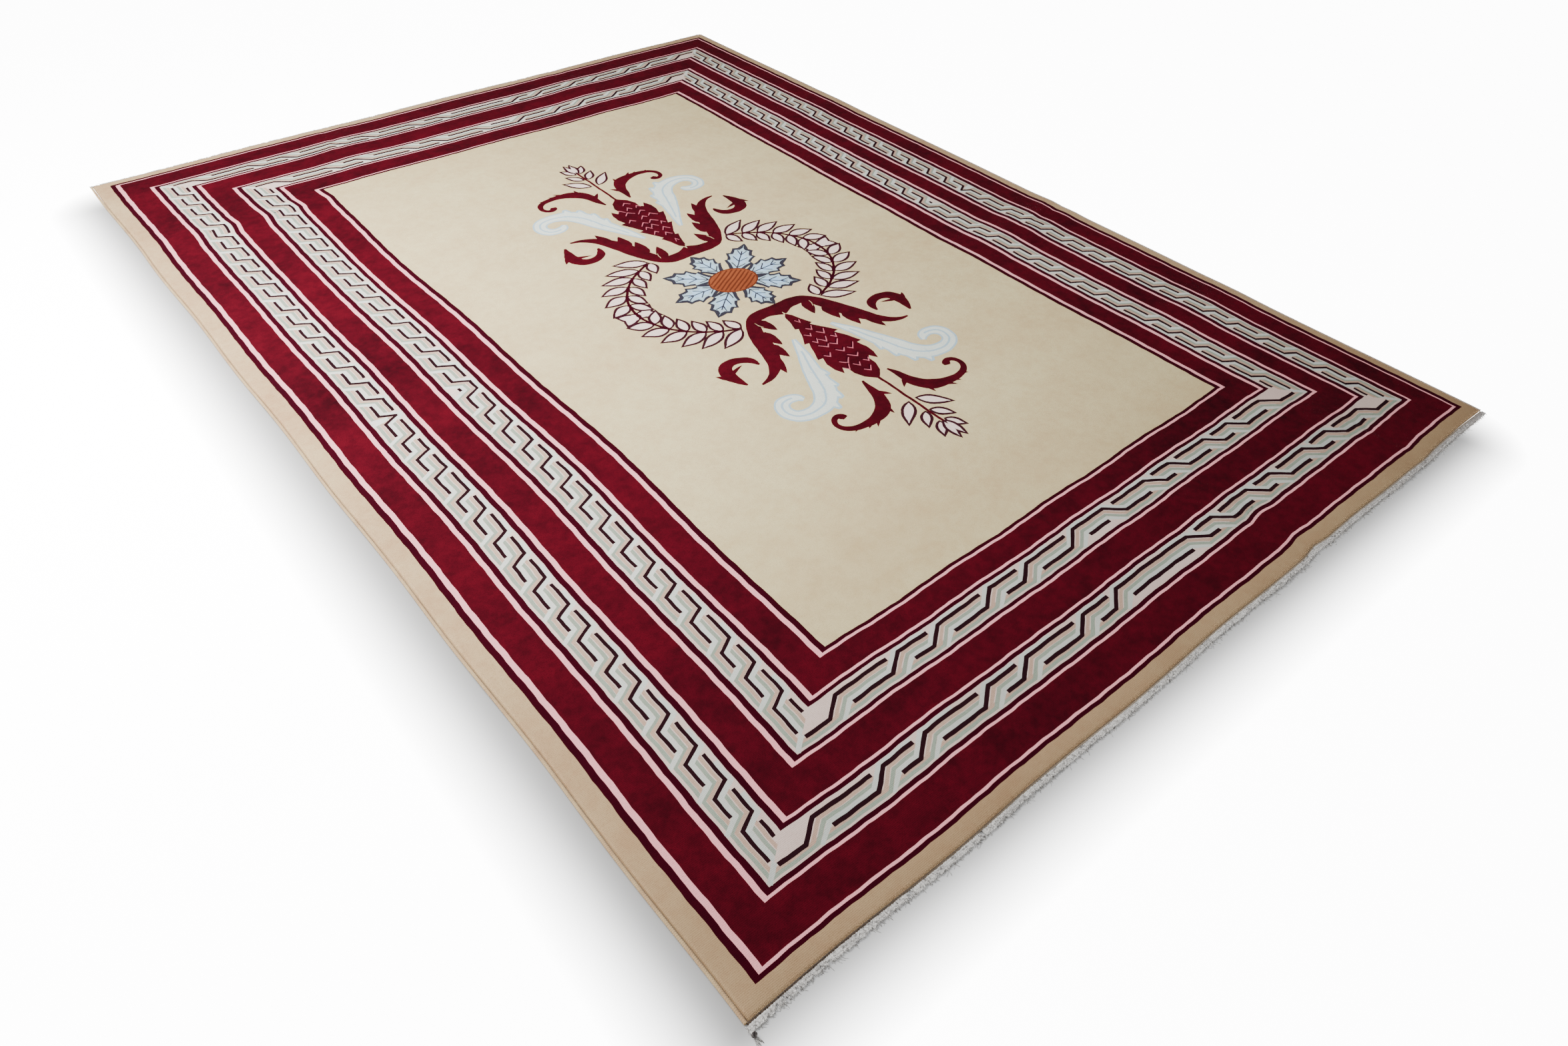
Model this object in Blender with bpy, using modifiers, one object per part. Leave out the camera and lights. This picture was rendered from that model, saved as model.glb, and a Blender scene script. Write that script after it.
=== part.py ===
"""A hand-knotted oushak rug lying on a floor: the knotted rug, its two overcast long edges
and its two flat-woven ends with a short fringe.

Metres, +Z up. The origin is on the floor under the rug's centre, +Y runs along its length.
Every piece is laid out flat first, and lie() then sets it down over the rug's low ripples.
"""

import math
import random
from collections import namedtuple

import bmesh
import bpy
from mathutils import Vector

OBJECT_NAME = "oushak_rug"

# Knotted rug
RUG_WIDTH = 2.600  # across both overcast edges
RUG_LENGTH = 3.620  # knotted pile, without the woven ends
PILE_THICKNESS = 0.010  # foundation and pile together
EDGE_ROUNDING = 0.003
BODY_COLUMNS = 30
BODY_ROWS = 42

# Overcast long edges
SELVEDGE_DIAMETER = 0.008
SELVEDGE_POINTS = BODY_ROWS + 1
SELVEDGE_SIDE_STEPS = 2  # bevel resolution, which makes eight sides

# Flat-woven ends and their fringe
STRIP_DEPTH = 0.018
STRIP_THICKNESS = 0.004
LOCKS_PER_END = 124
LOCK_ROOT_SHARE = 0.40  # share of the spacing that a lock's root takes
LOCK_LENGTH = 0.013
LOCK_LENGTH_SPREAD = 0.006
LOCK_LEAN = 0.005  # furthest that a tip lies to one side of its root
LOCK_SECTIONS = (
    # (share of the length, share of the root's width, share of the strip's thickness)
    (0.50, 0.78, 0.75),
    (1.00, 0.30, 0.40),
)
CORNER_TUFT_LENGTH = 0.030  # the longer tuft left at one corner
CORNER_TUFT_LEAN = -0.010
FRINGE_SEED = 11

PIECE_GAP = 0.0003

HALF_WIDTH = RUG_WIDTH / 2
HALF_LENGTH = RUG_LENGTH / 2
BODY_HALF_WIDTH = HALF_WIDTH - SELVEDGE_DIAMETER - PIECE_GAP
FRINGE_REACH = STRIP_DEPTH + CORNER_TUFT_LENGTH

# Low ripples: a crest's centre, its heading from +X, half its length, half its breadth, its height
Ripple = namedtuple("Ripple", "x y heading half_length half_breadth height")
RIPPLES = (
    # across the left long side
    Ripple(-1.12, 1.28, 8, 0.42, 0.17, 0.0040),
    Ripple(-1.15, 0.78, -5, 0.38, 0.16, 0.0035),
    Ripple(-1.10, 0.22, 6, 0.45, 0.18, 0.0045),
    Ripple(-1.16, -0.34, 0, 0.36, 0.16, 0.0035),
    Ripple(-1.12, -0.95, -7, 0.40, 0.18, 0.0040),
    # across the right long side
    Ripple(1.12, 0.86, 0, 0.34, 0.17, 0.0035),
    Ripple(1.10, -0.33, 6, 0.46, 0.15, 0.0075),
    Ripple(1.14, -1.02, -6, 0.32, 0.16, 0.0040),
    # along the length at the near end
    Ripple(-0.62, -1.60, 92, 0.34, 0.15, 0.0035),
    Ripple(0.32, -1.58, 84, 0.38, 0.14, 0.0065),
    Ripple(0.88, -1.62, 96, 0.34, 0.15, 0.0060),
    # along the length at the far end
    Ripple(-0.50, 1.60, 88, 0.36, 0.16, 0.0050),
    Ripple(0.50, 1.58, 94, 0.36, 0.17, 0.0050),
    # creases over the field
    Ripple(0.16, -0.44, 3, 0.62, 0.15, 0.0050),
    Ripple(-0.34, 0.52, 20, 0.44, 0.16, 0.0035),
    Ripple(0.52, 0.98, -14, 0.36, 0.16, 0.0035),
)

# Uneven weaving: how far each edge wanders from a straight line, as a bow and a shorter wave
Wander = namedtuple("Wander", "amplitude wavelength phase")
QUARTER_TURN = math.pi / 2
LONG_EDGE_WANDER = {
    -1: (Wander(0.0077, 2 * RUG_LENGTH, 2.60), Wander(0.0020, 0.62, 0.56)),
    1: (Wander(0.0130, 2 * RUG_LENGTH, QUARTER_TURN), Wander(0.0012, 0.95, 0.30)),
}
END_WANDER = {
    -1: (Wander(0.0065, 2 * RUG_WIDTH, 0.0), Wander(0.0022, 0.56, 1.20)),
    1: (Wander(-0.0050, 2 * RUG_WIDTH, 0.0), Wander(0.0030, 0.80, 1.10)),
}

# Material name: (colour as linear RGB, roughness)
FINISHES = {
    "wool_pile": ((0.62, 0.54, 0.41), 0.95),
    "selvedge_wool": ((0.36, 0.32, 0.27), 0.92),
    "cotton_warp": ((0.66, 0.65, 0.64), 0.90),
}


def clear_scene():
    for item in list(bpy.data.objects):
        bpy.data.objects.remove(item, do_unlink=True)


def make_material(name):
    colour, roughness = FINISHES[name]
    material = bpy.data.materials.new(name)
    material.use_nodes = True
    shader = material.node_tree.nodes["Principled BSDF"]
    shader.inputs["Base Color"].default_value = (*colour, 1.0)
    shader.inputs["Roughness"].default_value = roughness
    shader.inputs["Metallic"].default_value = 0.0
    return material


def make_collection():
    collection = bpy.data.collections.new(OBJECT_NAME)
    bpy.context.scene.collection.children.link(collection)
    return collection


def smooth_step(share):
    share = min(max(share, 0.0), 1.0)
    return share * share * (3 - 2 * share)


def ripple_height(ripple, x, y):
    """Height of one crest at a point: a raised cosine along it and across it, nothing beyond."""
    heading = math.radians(ripple.heading)
    dx = x - ripple.x
    dy = y - ripple.y
    along = (dx * math.cos(heading) + dy * math.sin(heading)) / ripple.half_length
    across = (dy * math.cos(heading) - dx * math.sin(heading)) / ripple.half_breadth
    if abs(along) >= 1 or abs(across) >= 1:
        return 0.0
    return ripple.height * (math.cos(along * QUARTER_TURN) * math.cos(across * QUARTER_TURN)) ** 2


def lift(x, y):
    """How far the underside stands off the floor. It fades out along the fringe."""
    height = max(ripple_height(ripple, x, y) for ripple in RIPPLES)
    beyond_end = (abs(y) - HALF_LENGTH) / FRINGE_REACH
    return height * (1 - smooth_step(beyond_end))


def wave_sum(waves, distance):
    return sum(
        wave.amplitude * math.sin(2 * math.pi * distance / wave.wavelength + wave.phase)
        for wave in waves
    )


def wander(waves, distance, half_span, cells):
    """An edge's wander at a distance along it, straight between the corners of the body's cells.

    Each piece beside the edge then follows the same line, so the gap between them stays even.
    """
    cell = 2 * half_span / cells
    before = math.floor((distance + half_span) / cell)
    share = (distance + half_span) / cell - before
    start = wave_sum(waves, before * cell - half_span)
    stop = wave_sum(waves, (before + 1) * cell - half_span)
    return start + (stop - start) * share


def lie(point):
    """Where a point of the flat layout lies: moved by the uneven edges and lifted by the ripples."""
    x, y, z = point
    side_waves = LONG_EDGE_WANDER[1 if x > 0 else -1]
    end_waves = END_WANDER[1 if y > 0 else -1]
    across = wander(side_waves, y, HALF_LENGTH, BODY_ROWS)
    along = wander(end_waves, x, BODY_HALF_WIDTH, BODY_COLUMNS)
    laid_x = x + across * smooth_step(abs(x) / HALF_WIDTH)
    laid_y = y + along * smooth_step(abs(y) / HALF_LENGTH)
    return Vector((laid_x, laid_y, z + lift(x, y)))


def add_bmesh_object(name, bm, material, collection):
    for vertex in bm.verts:
        vertex.co = lie(vertex.co)
    mesh = bpy.data.meshes.new(name)
    bm.to_mesh(mesh)
    bm.free()
    mesh.materials.append(material)
    piece = bpy.data.objects.new(name, mesh)
    collection.objects.link(piece)
    return piece


def make_body(collection, material):
    """The knotted rug: its underside as a grid, thickened upwards, with its rim rounded."""
    bm = bmesh.new()
    bmesh.ops.create_grid(bm, x_segments=BODY_COLUMNS, y_segments=BODY_ROWS, size=1.0)
    bmesh.ops.scale(bm, vec=(BODY_HALF_WIDTH, HALF_LENGTH, 1.0), verts=bm.verts)
    body = add_bmesh_object("rug_body", bm, material, collection)
    thickness = body.modifiers.new("pile", "SOLIDIFY")
    thickness.thickness = PILE_THICKNESS
    thickness.offset = 1.0
    rounding = body.modifiers.new("rim", "BEVEL")
    rounding.width = EDGE_ROUNDING
    rounding.segments = 1
    rounding.limit_method = "ANGLE"
    rounding.angle_limit = math.radians(60)
    return body


def make_selvedge(name, side, collection, material):
    """The overcast cord along one long edge."""
    radius = SELVEDGE_DIAMETER / 2
    curve = bpy.data.curves.new(name, "CURVE")
    curve.dimensions = "3D"
    curve.bevel_depth = radius
    curve.bevel_resolution = SELVEDGE_SIDE_STEPS
    curve.use_fill_caps = True
    spline = curve.splines.new("POLY")
    spline.points.add(SELVEDGE_POINTS - 1)
    for index, point in enumerate(spline.points):
        share = index / (SELVEDGE_POINTS - 1)
        flat = (side * (HALF_WIDTH - radius), (share - 0.5) * RUG_LENGTH, radius)
        point.co = (*lie(flat), 1.0)
    curve.materials.append(material)
    selvedge = bpy.data.objects.new(name, curve)
    collection.objects.link(selvedge)
    return selvedge


def strip_columns():
    """X of each column edge of an end strip, by turns the start and the end of a lock's root."""
    spacing = RUG_WIDTH / LOCKS_PER_END
    half_root = spacing * LOCK_ROOT_SHARE / 2
    edges = [-HALF_WIDTH]
    for lock in range(LOCKS_PER_END):
        middle = (lock + 0.5) * spacing - HALF_WIDTH
        edges += [middle - half_root, middle + half_root]
    edges.append(HALF_WIDTH)
    return edges


def make_strip(bm, end):
    """A flat strip beyond one end of the pile. Returns its outer faces at the locks' roots."""
    edges = strip_columns()
    inner = end * (HALF_LENGTH + PIECE_GAP)
    outer = end * (HALF_LENGTH + STRIP_DEPTH)
    bmesh.ops.create_grid(bm, x_segments=len(edges) - 1, y_segments=1, size=1.0)
    for vertex in bm.verts:
        column = round((vertex.co.x + 1) / 2 * (len(edges) - 1))
        vertex.co.x = edges[column]
        vertex.co.y = outer if vertex.co.y > 0 else inner
    flat = list(bm.faces)
    raised = bmesh.ops.extrude_face_region(bm, geom=flat)["geom"]
    tops = [item for item in raised if isinstance(item, bmesh.types.BMVert)]
    bmesh.ops.translate(bm, vec=(0, 0, STRIP_THICKNESS), verts=tops)
    bmesh.ops.recalc_face_normals(bm, faces=bm.faces)
    outer_faces = [face for face in bm.faces if face.normal.y * end > 0.9]
    outer_faces.sort(key=lambda face: face.calc_center_median().x)
    return outer_faces[1::2]


def shape_section(face, centre_x, y, width, height):
    """Sets a lock's section: level on the floor, at the given place and size."""
    middle = face.calc_center_median()
    for vertex in face.verts:
        side = 1 if vertex.co.x > middle.x else -1
        top = vertex.co.z > middle.z
        vertex.co = (centre_x + side * width / 2, y, height if top else 0.0)


def grow_lock(bm, root, end, length, lean):
    """Draws one lock out of its root face, tapering towards its tip."""
    start_x = root.calc_center_median().x
    start_y = end * (HALF_LENGTH + STRIP_DEPTH)
    root_width = RUG_WIDTH / LOCKS_PER_END * LOCK_ROOT_SHARE
    face = root
    for share, width_share, height_share in LOCK_SECTIONS:
        face = bmesh.ops.extrude_discrete_faces(bm, faces=[face])["faces"][0]
        shape_section(
            face,
            start_x + lean * share**2,
            start_y + end * length * share,
            root_width * width_share,
            STRIP_THICKNESS * height_share,
        )


def make_fringe(name, end, collection, material, tuft_at_left):
    """One woven end: the strip with its locks, lengths and leans drawn from a fixed seed."""
    chance = random.Random(FRINGE_SEED + end)
    bm = bmesh.new()
    for number, root in enumerate(make_strip(bm, end)):
        length = LOCK_LENGTH + chance.uniform(-1, 1) * LOCK_LENGTH_SPREAD
        lean = chance.uniform(-1, 1) * LOCK_LEAN
        if tuft_at_left and number == 0:
            length = CORNER_TUFT_LENGTH
            lean = CORNER_TUFT_LEAN
        grow_lock(bm, root, end, length, lean)
    return add_bmesh_object(name, bm, material, collection)


def main():
    clear_scene()
    collection = make_collection()
    materials = {name: make_material(name) for name in FINISHES}
    origin = bpy.data.objects.new(OBJECT_NAME + "_origin", None)
    collection.objects.link(origin)
    pieces = [
        make_body(collection, materials["wool_pile"]),
        make_selvedge("selvedge_left", -1, collection, materials["selvedge_wool"]),
        make_selvedge("selvedge_right", 1, collection, materials["selvedge_wool"]),
        make_fringe("fringe_near", -1, collection, materials["cotton_warp"], tuft_at_left=True),
        make_fringe("fringe_far", 1, collection, materials["cotton_warp"], tuft_at_left=False),
    ]
    for piece in pieces:
        piece.parent = origin


main()
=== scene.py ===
"""A hand-knotted oushak rug lying on a pale floor: its patterned wool pile, overcast long edges,
flat-woven ends and short fringe, with the light and the camera.

Metres, +Z up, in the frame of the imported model. Every piece is laid out flat first, with the
rug's centre at the origin and its length along Y, and then set down over the rug's low ripples.
The pile's pattern is painted as overlapping outlines, which are cut into one net of triangles.
Each triangle takes the wool of the topmost outline over it, and each wool is a piece of its own.
"""

import math
import random
from collections import namedtuple

import bpy
import numpy as np
from mathutils import Matrix, Vector
from mathutils.geometry import delaunay_2d_cdt


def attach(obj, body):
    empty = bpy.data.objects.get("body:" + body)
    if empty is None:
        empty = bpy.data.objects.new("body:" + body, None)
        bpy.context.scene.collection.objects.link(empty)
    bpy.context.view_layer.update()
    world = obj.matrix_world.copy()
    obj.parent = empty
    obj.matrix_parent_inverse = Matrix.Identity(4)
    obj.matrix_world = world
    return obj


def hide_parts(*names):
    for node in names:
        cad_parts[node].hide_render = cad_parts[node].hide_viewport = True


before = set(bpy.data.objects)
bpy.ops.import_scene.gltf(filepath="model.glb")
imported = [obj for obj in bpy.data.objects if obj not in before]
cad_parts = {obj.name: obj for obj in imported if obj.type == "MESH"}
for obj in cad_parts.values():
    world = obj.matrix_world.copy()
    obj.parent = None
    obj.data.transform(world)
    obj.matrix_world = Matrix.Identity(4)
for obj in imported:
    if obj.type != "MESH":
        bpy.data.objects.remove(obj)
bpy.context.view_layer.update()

# The rug's layout, with the same sizes as its solids
RUG_WIDTH = 2.600
RUG_LENGTH = 3.620
PILE_TOP = 0.010
SELVEDGE_DIAMETER = 0.008
STRIP_DEPTH = 0.018
STRIP_THICKNESS = 0.004
CORNER_TUFT_LENGTH = 0.030
PIECE_GAP = 0.0003
TWINING_DIAMETER = 0.0036

HALF_WIDTH = RUG_WIDTH / 2
HALF_LENGTH = RUG_LENGTH / 2
PILE_HALF_WIDTH = HALF_WIDTH - SELVEDGE_DIAMETER - PIECE_GAP
FRINGE_REACH = STRIP_DEPTH + CORNER_TUFT_LENGTH

# Low ripples: a crest's centre, its heading from +X, half its length, half its breadth, its height
Ripple = namedtuple("Ripple", "x y heading half_length half_breadth height")
RIPPLES = (
    # across the left long side
    Ripple(-1.12, 1.28, 8, 0.42, 0.17, 0.0040),
    Ripple(-1.15, 0.78, -5, 0.38, 0.16, 0.0035),
    Ripple(-1.10, 0.22, 6, 0.45, 0.18, 0.0045),
    Ripple(-1.16, -0.34, 0, 0.36, 0.16, 0.0035),
    Ripple(-1.12, -0.95, -7, 0.40, 0.18, 0.0040),
    # across the right long side
    Ripple(1.12, 0.86, 0, 0.34, 0.17, 0.0035),
    Ripple(1.10, -0.33, 6, 0.46, 0.15, 0.0075),
    Ripple(1.14, -1.02, -6, 0.32, 0.16, 0.0040),
    # along the length at the near end
    Ripple(-0.62, -1.60, 92, 0.34, 0.15, 0.0035),
    Ripple(0.32, -1.58, 84, 0.38, 0.14, 0.0065),
    Ripple(0.88, -1.62, 96, 0.34, 0.15, 0.0060),
    # along the length at the far end
    Ripple(-0.50, 1.60, 88, 0.36, 0.16, 0.0050),
    Ripple(0.50, 1.58, 94, 0.36, 0.17, 0.0050),
    # creases over the field
    Ripple(0.16, -0.44, 3, 0.62, 0.15, 0.0050),
    Ripple(-0.34, 0.52, 20, 0.44, 0.16, 0.0035),
    Ripple(0.52, 0.98, -14, 0.36, 0.16, 0.0035),
)

# Narrow creases near the edges, where the pile parts: a small ridge with a furrow beside it
CREASES = (
    Ripple(0.425, -1.640, 90, 0.17, 0.030, 0.0034),
    Ripple(0.950, -1.650, 92, 0.15, 0.026, 0.0028),
    Ripple(-0.520, 1.660, 88, 0.14, 0.030, 0.0026),
    Ripple(1.170, -0.330, 2, 0.14, 0.028, 0.0026),
)

# Uneven weaving: how far a line wanders from straight, as a bow and a shorter wave
Wander = namedtuple("Wander", "amplitude wavelength phase")
QUARTER_TURN = math.pi / 2
LONG_BOW = 2 * RUG_LENGTH
END_BOW = 2 * RUG_WIDTH
EDGE_WANDER = {
    "left": (Wander(0.0077, LONG_BOW, 2.60), Wander(0.0020, 0.62, 0.56)),
    "right": (Wander(0.0130, LONG_BOW, QUARTER_TURN), Wander(0.0012, 0.95, 0.30)),
    "near": (Wander(0.0065, END_BOW, 0.0), Wander(0.0022, 0.56, 1.20)),
    "far": (Wander(-0.0050, END_BOW, 0.0), Wander(0.0030, 0.80, 1.10)),
}
FIELD_WANDER = {
    "left": (
        Wander(0.0160, LONG_BOW, QUARTER_TURN),
        Wander(0.0080, 2.40, 2.84),
        Wander(0.0040, 0.80, -0.785),
    ),
    "right": (Wander(-0.0180, LONG_BOW, QUARTER_TURN), Wander(0.0015, 0.52, 0.90)),
    "near": (Wander(0.0170, END_BOW, 0.0), Wander(0.0020, 0.37, 0.40)),
    "far": (Wander(-0.0210, END_BOW, 0.0), Wander(0.0020, 0.44, 1.40)),
}

# Places where the weave is pinched: a shift that is greatest along one line and fades beside it
Kink = namedtuple("Kink", "x y half_width half_height shift_x shift_y")
KINKS = (
    Kink(0.435, -1.74, 0.055, 0.30, 0.000, 0.008),
    Kink(0.960, -1.74, 0.070, 0.22, 0.000, -0.004),
    Kink(-0.500, 1.74, 0.070, 0.22, 0.000, -0.005),
    Kink(0.520, 1.74, 0.060, 0.22, 0.000, -0.006),
    Kink(1.200, -0.330, 0.26, 0.055, -0.008, 0.000),
    Kink(-0.880, 1.232, 0.50, 0.065, 0.0085, 0.000),
)

# The border's stripes from the pile's edge inwards, with their widths on each side
Row = namedtuple("Row", "wool left right near far")
BORDER_ROWS = (
    Row("tan", 0.0545, 0.0370, 0.0370, 0.0340),
    Row("dark", 0.0150, 0.0135, 0.0095, 0.0110),
    Row("pink", 0.0130, 0.0050, 0.0065, 0.0045),
    Row("red", 0.0745, 0.0640, 0.0835, 0.0800),
    Row("pink", 0.0120, 0.0065, 0.0065, 0.0045),
    Row("dark", 0.0140, 0.0150, 0.0105, 0.0110),
    Row("pale", 0.0870, 0.0680, 0.0730, 0.0610),
    Row("dark", 0.0140, 0.0140, 0.0100, 0.0100),
    Row("pink", 0.0125, 0.0085, 0.0065, 0.0045),
    Row("red", 0.0755, 0.0620, 0.0780, 0.0890),
    Row("pink", 0.0120, 0.0095, 0.0070, 0.0045),
    Row("dark", 0.0145, 0.0125, 0.0090, 0.0100),
    Row("pale", 0.0880, 0.0710, 0.0740, 0.0690),
    Row("dark", 0.0130, 0.0125, 0.0090, 0.0095),
    Row("pink", 0.0125, 0.0105, 0.0070, 0.0045),
    Row("red", 0.0740, 0.0640, 0.0620, 0.0800),
    Row("pink", 0.0125, 0.0105, 0.0070, 0.0045),
    Row("dark", 0.0145, 0.0140, 0.0090, 0.0100),
)
SIDES = ("left", "right", "near", "far")

# Meander bands. A key is a dark bar in the inner lane, a slanting jog and a bar in the outer lane.
# Lanes are shares of the band's width from its outer edge. The rest are lengths along the band.
MEANDER_FIELDS = "outer_lane inner_lane jog outer_gap inner_gap end_bar pitch uneven corner_bar bar_width"
Meander = namedtuple("Meander", MEANDER_FIELDS)
LONG_MEANDER = Meander(0.35, 0.81, 0.022, 0.035, 0.025, 0.092, 0.093, 0.008, True, 0.0085)
END_MEANDER = Meander(0.31, 0.81, 0.047, 0.066, 0.033, 0.076, 0.145, 0.004, False, 0.0100)

# Each band: its row, the first key's distance from the side's middle, and how its pitches alternate
Band = namedtuple("Band", "row first_on_long first_on_end pitch_shares_on_end")
BANDS = (
    Band(6, 0.020, 0.181, (0.78, 1.22)),
    Band(12, 0.043, 0.105, (1.20, 0.80)),
)
LONG_MIDDLE = -0.023
END_MIDDLE = 0.080
CORNER_MARGIN = 0.012
MITRE_WIDTH = 0.011
MITRE_SPAN = (0.04, 0.42)

# Strands of a ribbon between two keys: place between the keys, place in the outer strip, width
Strand = namedtuple("Strand", "wool between outside width")
STRANDS = (
    Strand("sage", 0.50, 0.13, 0.0085),
    Strand("beige", 0.76, 0.235, 0.0080),
    Strand("mist", 0.24, 0.00, 0.0115),
)
# Where strands enter and leave a jog, as shares of the gaps, and the least run between the two
STRAND_ENTRY = 0.45
STRAND_EXIT = 1.04
LEAST_RUN = 0.002
# Bars start just past the side's middle, so that its two halves join
OVERLAP = 0.001

# Medallion: distances from its centre, across and along the rug. It is the same in each quarter.
MEDALLION_X = 0.083
MEDALLION_Y = -0.012
MEDALLION_STRETCH = 0.985
# Signs of x and y that mirror an outline into the four quarters, or to both ends
QUARTERS = ((-1, -1), (-1, 1), (1, -1), (1, 1))
ENDS = ((1, -1), (1, 1))

# Spines of the curved forms: distance across, distance along, half the width there
ACANTHUS_ARM = (
    (-0.004, 0.228, 0.031), (0.035, 0.219, 0.022), (0.066, 0.218, 0.021), (0.094, 0.224, 0.019),
    (0.117, 0.246, 0.019), (0.137, 0.284, 0.022), (0.152, 0.327, 0.025), (0.166, 0.369, 0.025),
    (0.181, 0.410, 0.023), (0.202, 0.448, 0.017), (0.230, 0.478, 0.011), (0.259, 0.494, 0.006),
    (0.291, 0.500, 0.001),
)
HOOK = (
    (0.324, 0.478, 0.001), (0.333, 0.447, 0.011), (0.339, 0.411, 0.019), (0.328, 0.379, 0.018),
    (0.302, 0.364, 0.015), (0.272, 0.366, 0.013), (0.250, 0.380, 0.012), (0.239, 0.400, 0.008),
    (0.236, 0.420, 0.001),
)
PALE_SCROLL = (
    (0.074, 0.385, 0.001), (0.084, 0.413, 0.006), (0.096, 0.445, 0.011), (0.109, 0.478, 0.016),
    (0.123, 0.513, 0.021), (0.138, 0.551, 0.026), (0.151, 0.591, 0.031), (0.168, 0.631, 0.031),
    (0.198, 0.665, 0.028), (0.240, 0.681, 0.022), (0.281, 0.679, 0.019), (0.308, 0.661, 0.018),
    (0.317, 0.630, 0.018), (0.304, 0.604, 0.017), (0.277, 0.595, 0.014), (0.252, 0.603, 0.011),
    (0.239, 0.620, 0.003),
)
SMALL_SCROLL = (
    (0.049, 0.660, 0.001), (0.057, 0.698, 0.009), (0.063, 0.740, 0.016), (0.080, 0.774, 0.020),
    (0.105, 0.795, 0.020), (0.141, 0.806, 0.014), (0.180, 0.808, 0.010), (0.214, 0.801, 0.008),
    (0.235, 0.785, 0.007), (0.242, 0.763, 0.006), (0.235, 0.743, 0.006), (0.219, 0.735, 0.007),
    (0.206, 0.743, 0.010), (0.202, 0.753, 0.007),
)
SCROLL_RIM = 0.0060
SCROLL_VEIN = 0.0065
# The stretch of the smoothed spine that the vein follows
SCROLL_VEIN_SPAN = slice(8, -6)
RED_GROWTH = 0.0025
FOLD_OFFSET = 0.014
FOLD_HALF_WIDTHS = (0.0005, 0.0012, 0.0005)

# Leaflets that give these forms their toothed edges, from base to tip
Leaflet = namedtuple("Leaflet", "base tip width")
ARM_LEAFLETS = (
    Leaflet((0.094, 0.244), (0.075, 0.314), 0.038),
    Leaflet((0.127, 0.300), (0.116, 0.384), 0.043),
    Leaflet((0.152, 0.366), (0.141, 0.446), 0.042),
    Leaflet((0.184, 0.424), (0.198, 0.499), 0.034),
    Leaflet((0.345, 0.425), (0.373, 0.391), 0.018),
    Leaflet((0.340, 0.412), (0.276, 0.392), 0.015),
)
PALE_LEAFLETS = (
    Leaflet((0.130, 0.528), (0.106, 0.574), 0.024),
    Leaflet((0.143, 0.578), (0.120, 0.628), 0.030),
    Leaflet((0.160, 0.624), (0.147, 0.677), 0.030),
    Leaflet((0.192, 0.655), (0.184, 0.708), 0.028),
)
SMALL_LEAFLETS = (
    Leaflet((0.063, 0.716), (0.024, 0.755), 0.018),
    Leaflet((0.080, 0.772), (0.081, 0.823), 0.018),
    Leaflet((0.117, 0.793), (0.157, 0.836), 0.018),
    Leaflet((0.150, 0.804), (0.181, 0.827), 0.012),
    Leaflet((0.195, 0.802), (0.222, 0.815), 0.010),
)
# Half the outline of the scaled cone, from its root to its tip
CONE = (
    (0.000, 0.258), (0.013, 0.276), (0.021, 0.310), (0.034, 0.346), (0.023, 0.350), (0.038, 0.380),
    (0.052, 0.404), (0.067, 0.428), (0.051, 0.430), (0.064, 0.458), (0.075, 0.483), (0.086, 0.508),
    (0.069, 0.510), (0.078, 0.540), (0.077, 0.572), (0.066, 0.603), (0.052, 0.578), (0.042, 0.590),
    (0.043, 0.618), (0.030, 0.650), (0.000, 0.681),
)
# Rows of scales: distance along, half the row's width, number of scales
ScaleRow = namedtuple("ScaleRow", "along half_width scales")
SCALE_ROWS = (
    ScaleRow(0.312, 0.010, 1),
    ScaleRow(0.353, 0.016, 1),
    ScaleRow(0.390, 0.034, 2),
    ScaleRow(0.427, 0.046, 3),
    ScaleRow(0.466, 0.044, 2),
    ScaleRow(0.503, 0.062, 3),
    ScaleRow(0.543, 0.048, 2),
    ScaleRow(0.580, 0.050, 3),
    ScaleRow(0.617, 0.022, 1),
)
SCALE_DEPTH = 0.020
SCALE_STRAY = 0.008
SCALE_REACH = (0.50, 0.95)
SCALE_LINE = 0.0040

DISC_ACROSS = 0.080
DISC_ALONG = 0.063
DISC_RIM = 0.005
HATCH_SPACING = 0.0155
HATCH_WIDTH = 0.0055
HATCH_HEADING = (0.8, 0.6)
HATCH_REACH = 0.93
# Rosette: its middle, and each petal's direction from +X and reach from there
ROSETTE_MIDDLE = (-0.004, -0.007)
PETAL_TIPS = (
    (1, 0.226), (43, 0.236), (97, 0.198), (141, 0.224),
    (180, 0.226), (220, 0.224), (275, 0.188), (323, 0.218),
)
PETAL_START = 0.058
PETAL_RIM = 0.0100
PETAL_LIGHT = 0.0230
# A petal's edge: share of its length, half its width there
PETAL_EDGE = (
    (0.00, 0.018), (0.08, 0.024), (0.20, 0.033), (0.33, 0.047), (0.36, 0.038), (0.46, 0.041),
    (0.58, 0.050), (0.61, 0.036), (0.70, 0.034), (0.79, 0.035), (0.82, 0.019), (0.91, 0.011),
    (1.00, 0.001),
)
# A petal's veins from its midrib: share of the length where one leaves, and its spread at its end
PETAL_VEINS = ((0.12, 0.022), (0.34, 0.024), (0.58, 0.016))
MIDRIB_REACH = 0.72
VEIN_REACH = 0.16
VEIN_WIDTH = 0.0040

# Laurel wreath: its stem's ellipse, and how its leaves stand on the stem
WREATH_ACROSS = 0.362
WREATH_ALONG = 0.268
WREATH_END = 65
WREATH_LEAVES = (4, 15, 25.5, 36, 46, 55, 64.5)
LEAF_RIM = 0.0090
Leaf = namedtuple("Leaf", "slant length growth width")
OUTER_LEAF = Leaf(46, 0.078, 0.0007, 0.050)
INNER_LEAF = Leaf(-55, 0.088, -0.0002, 0.045)

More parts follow.
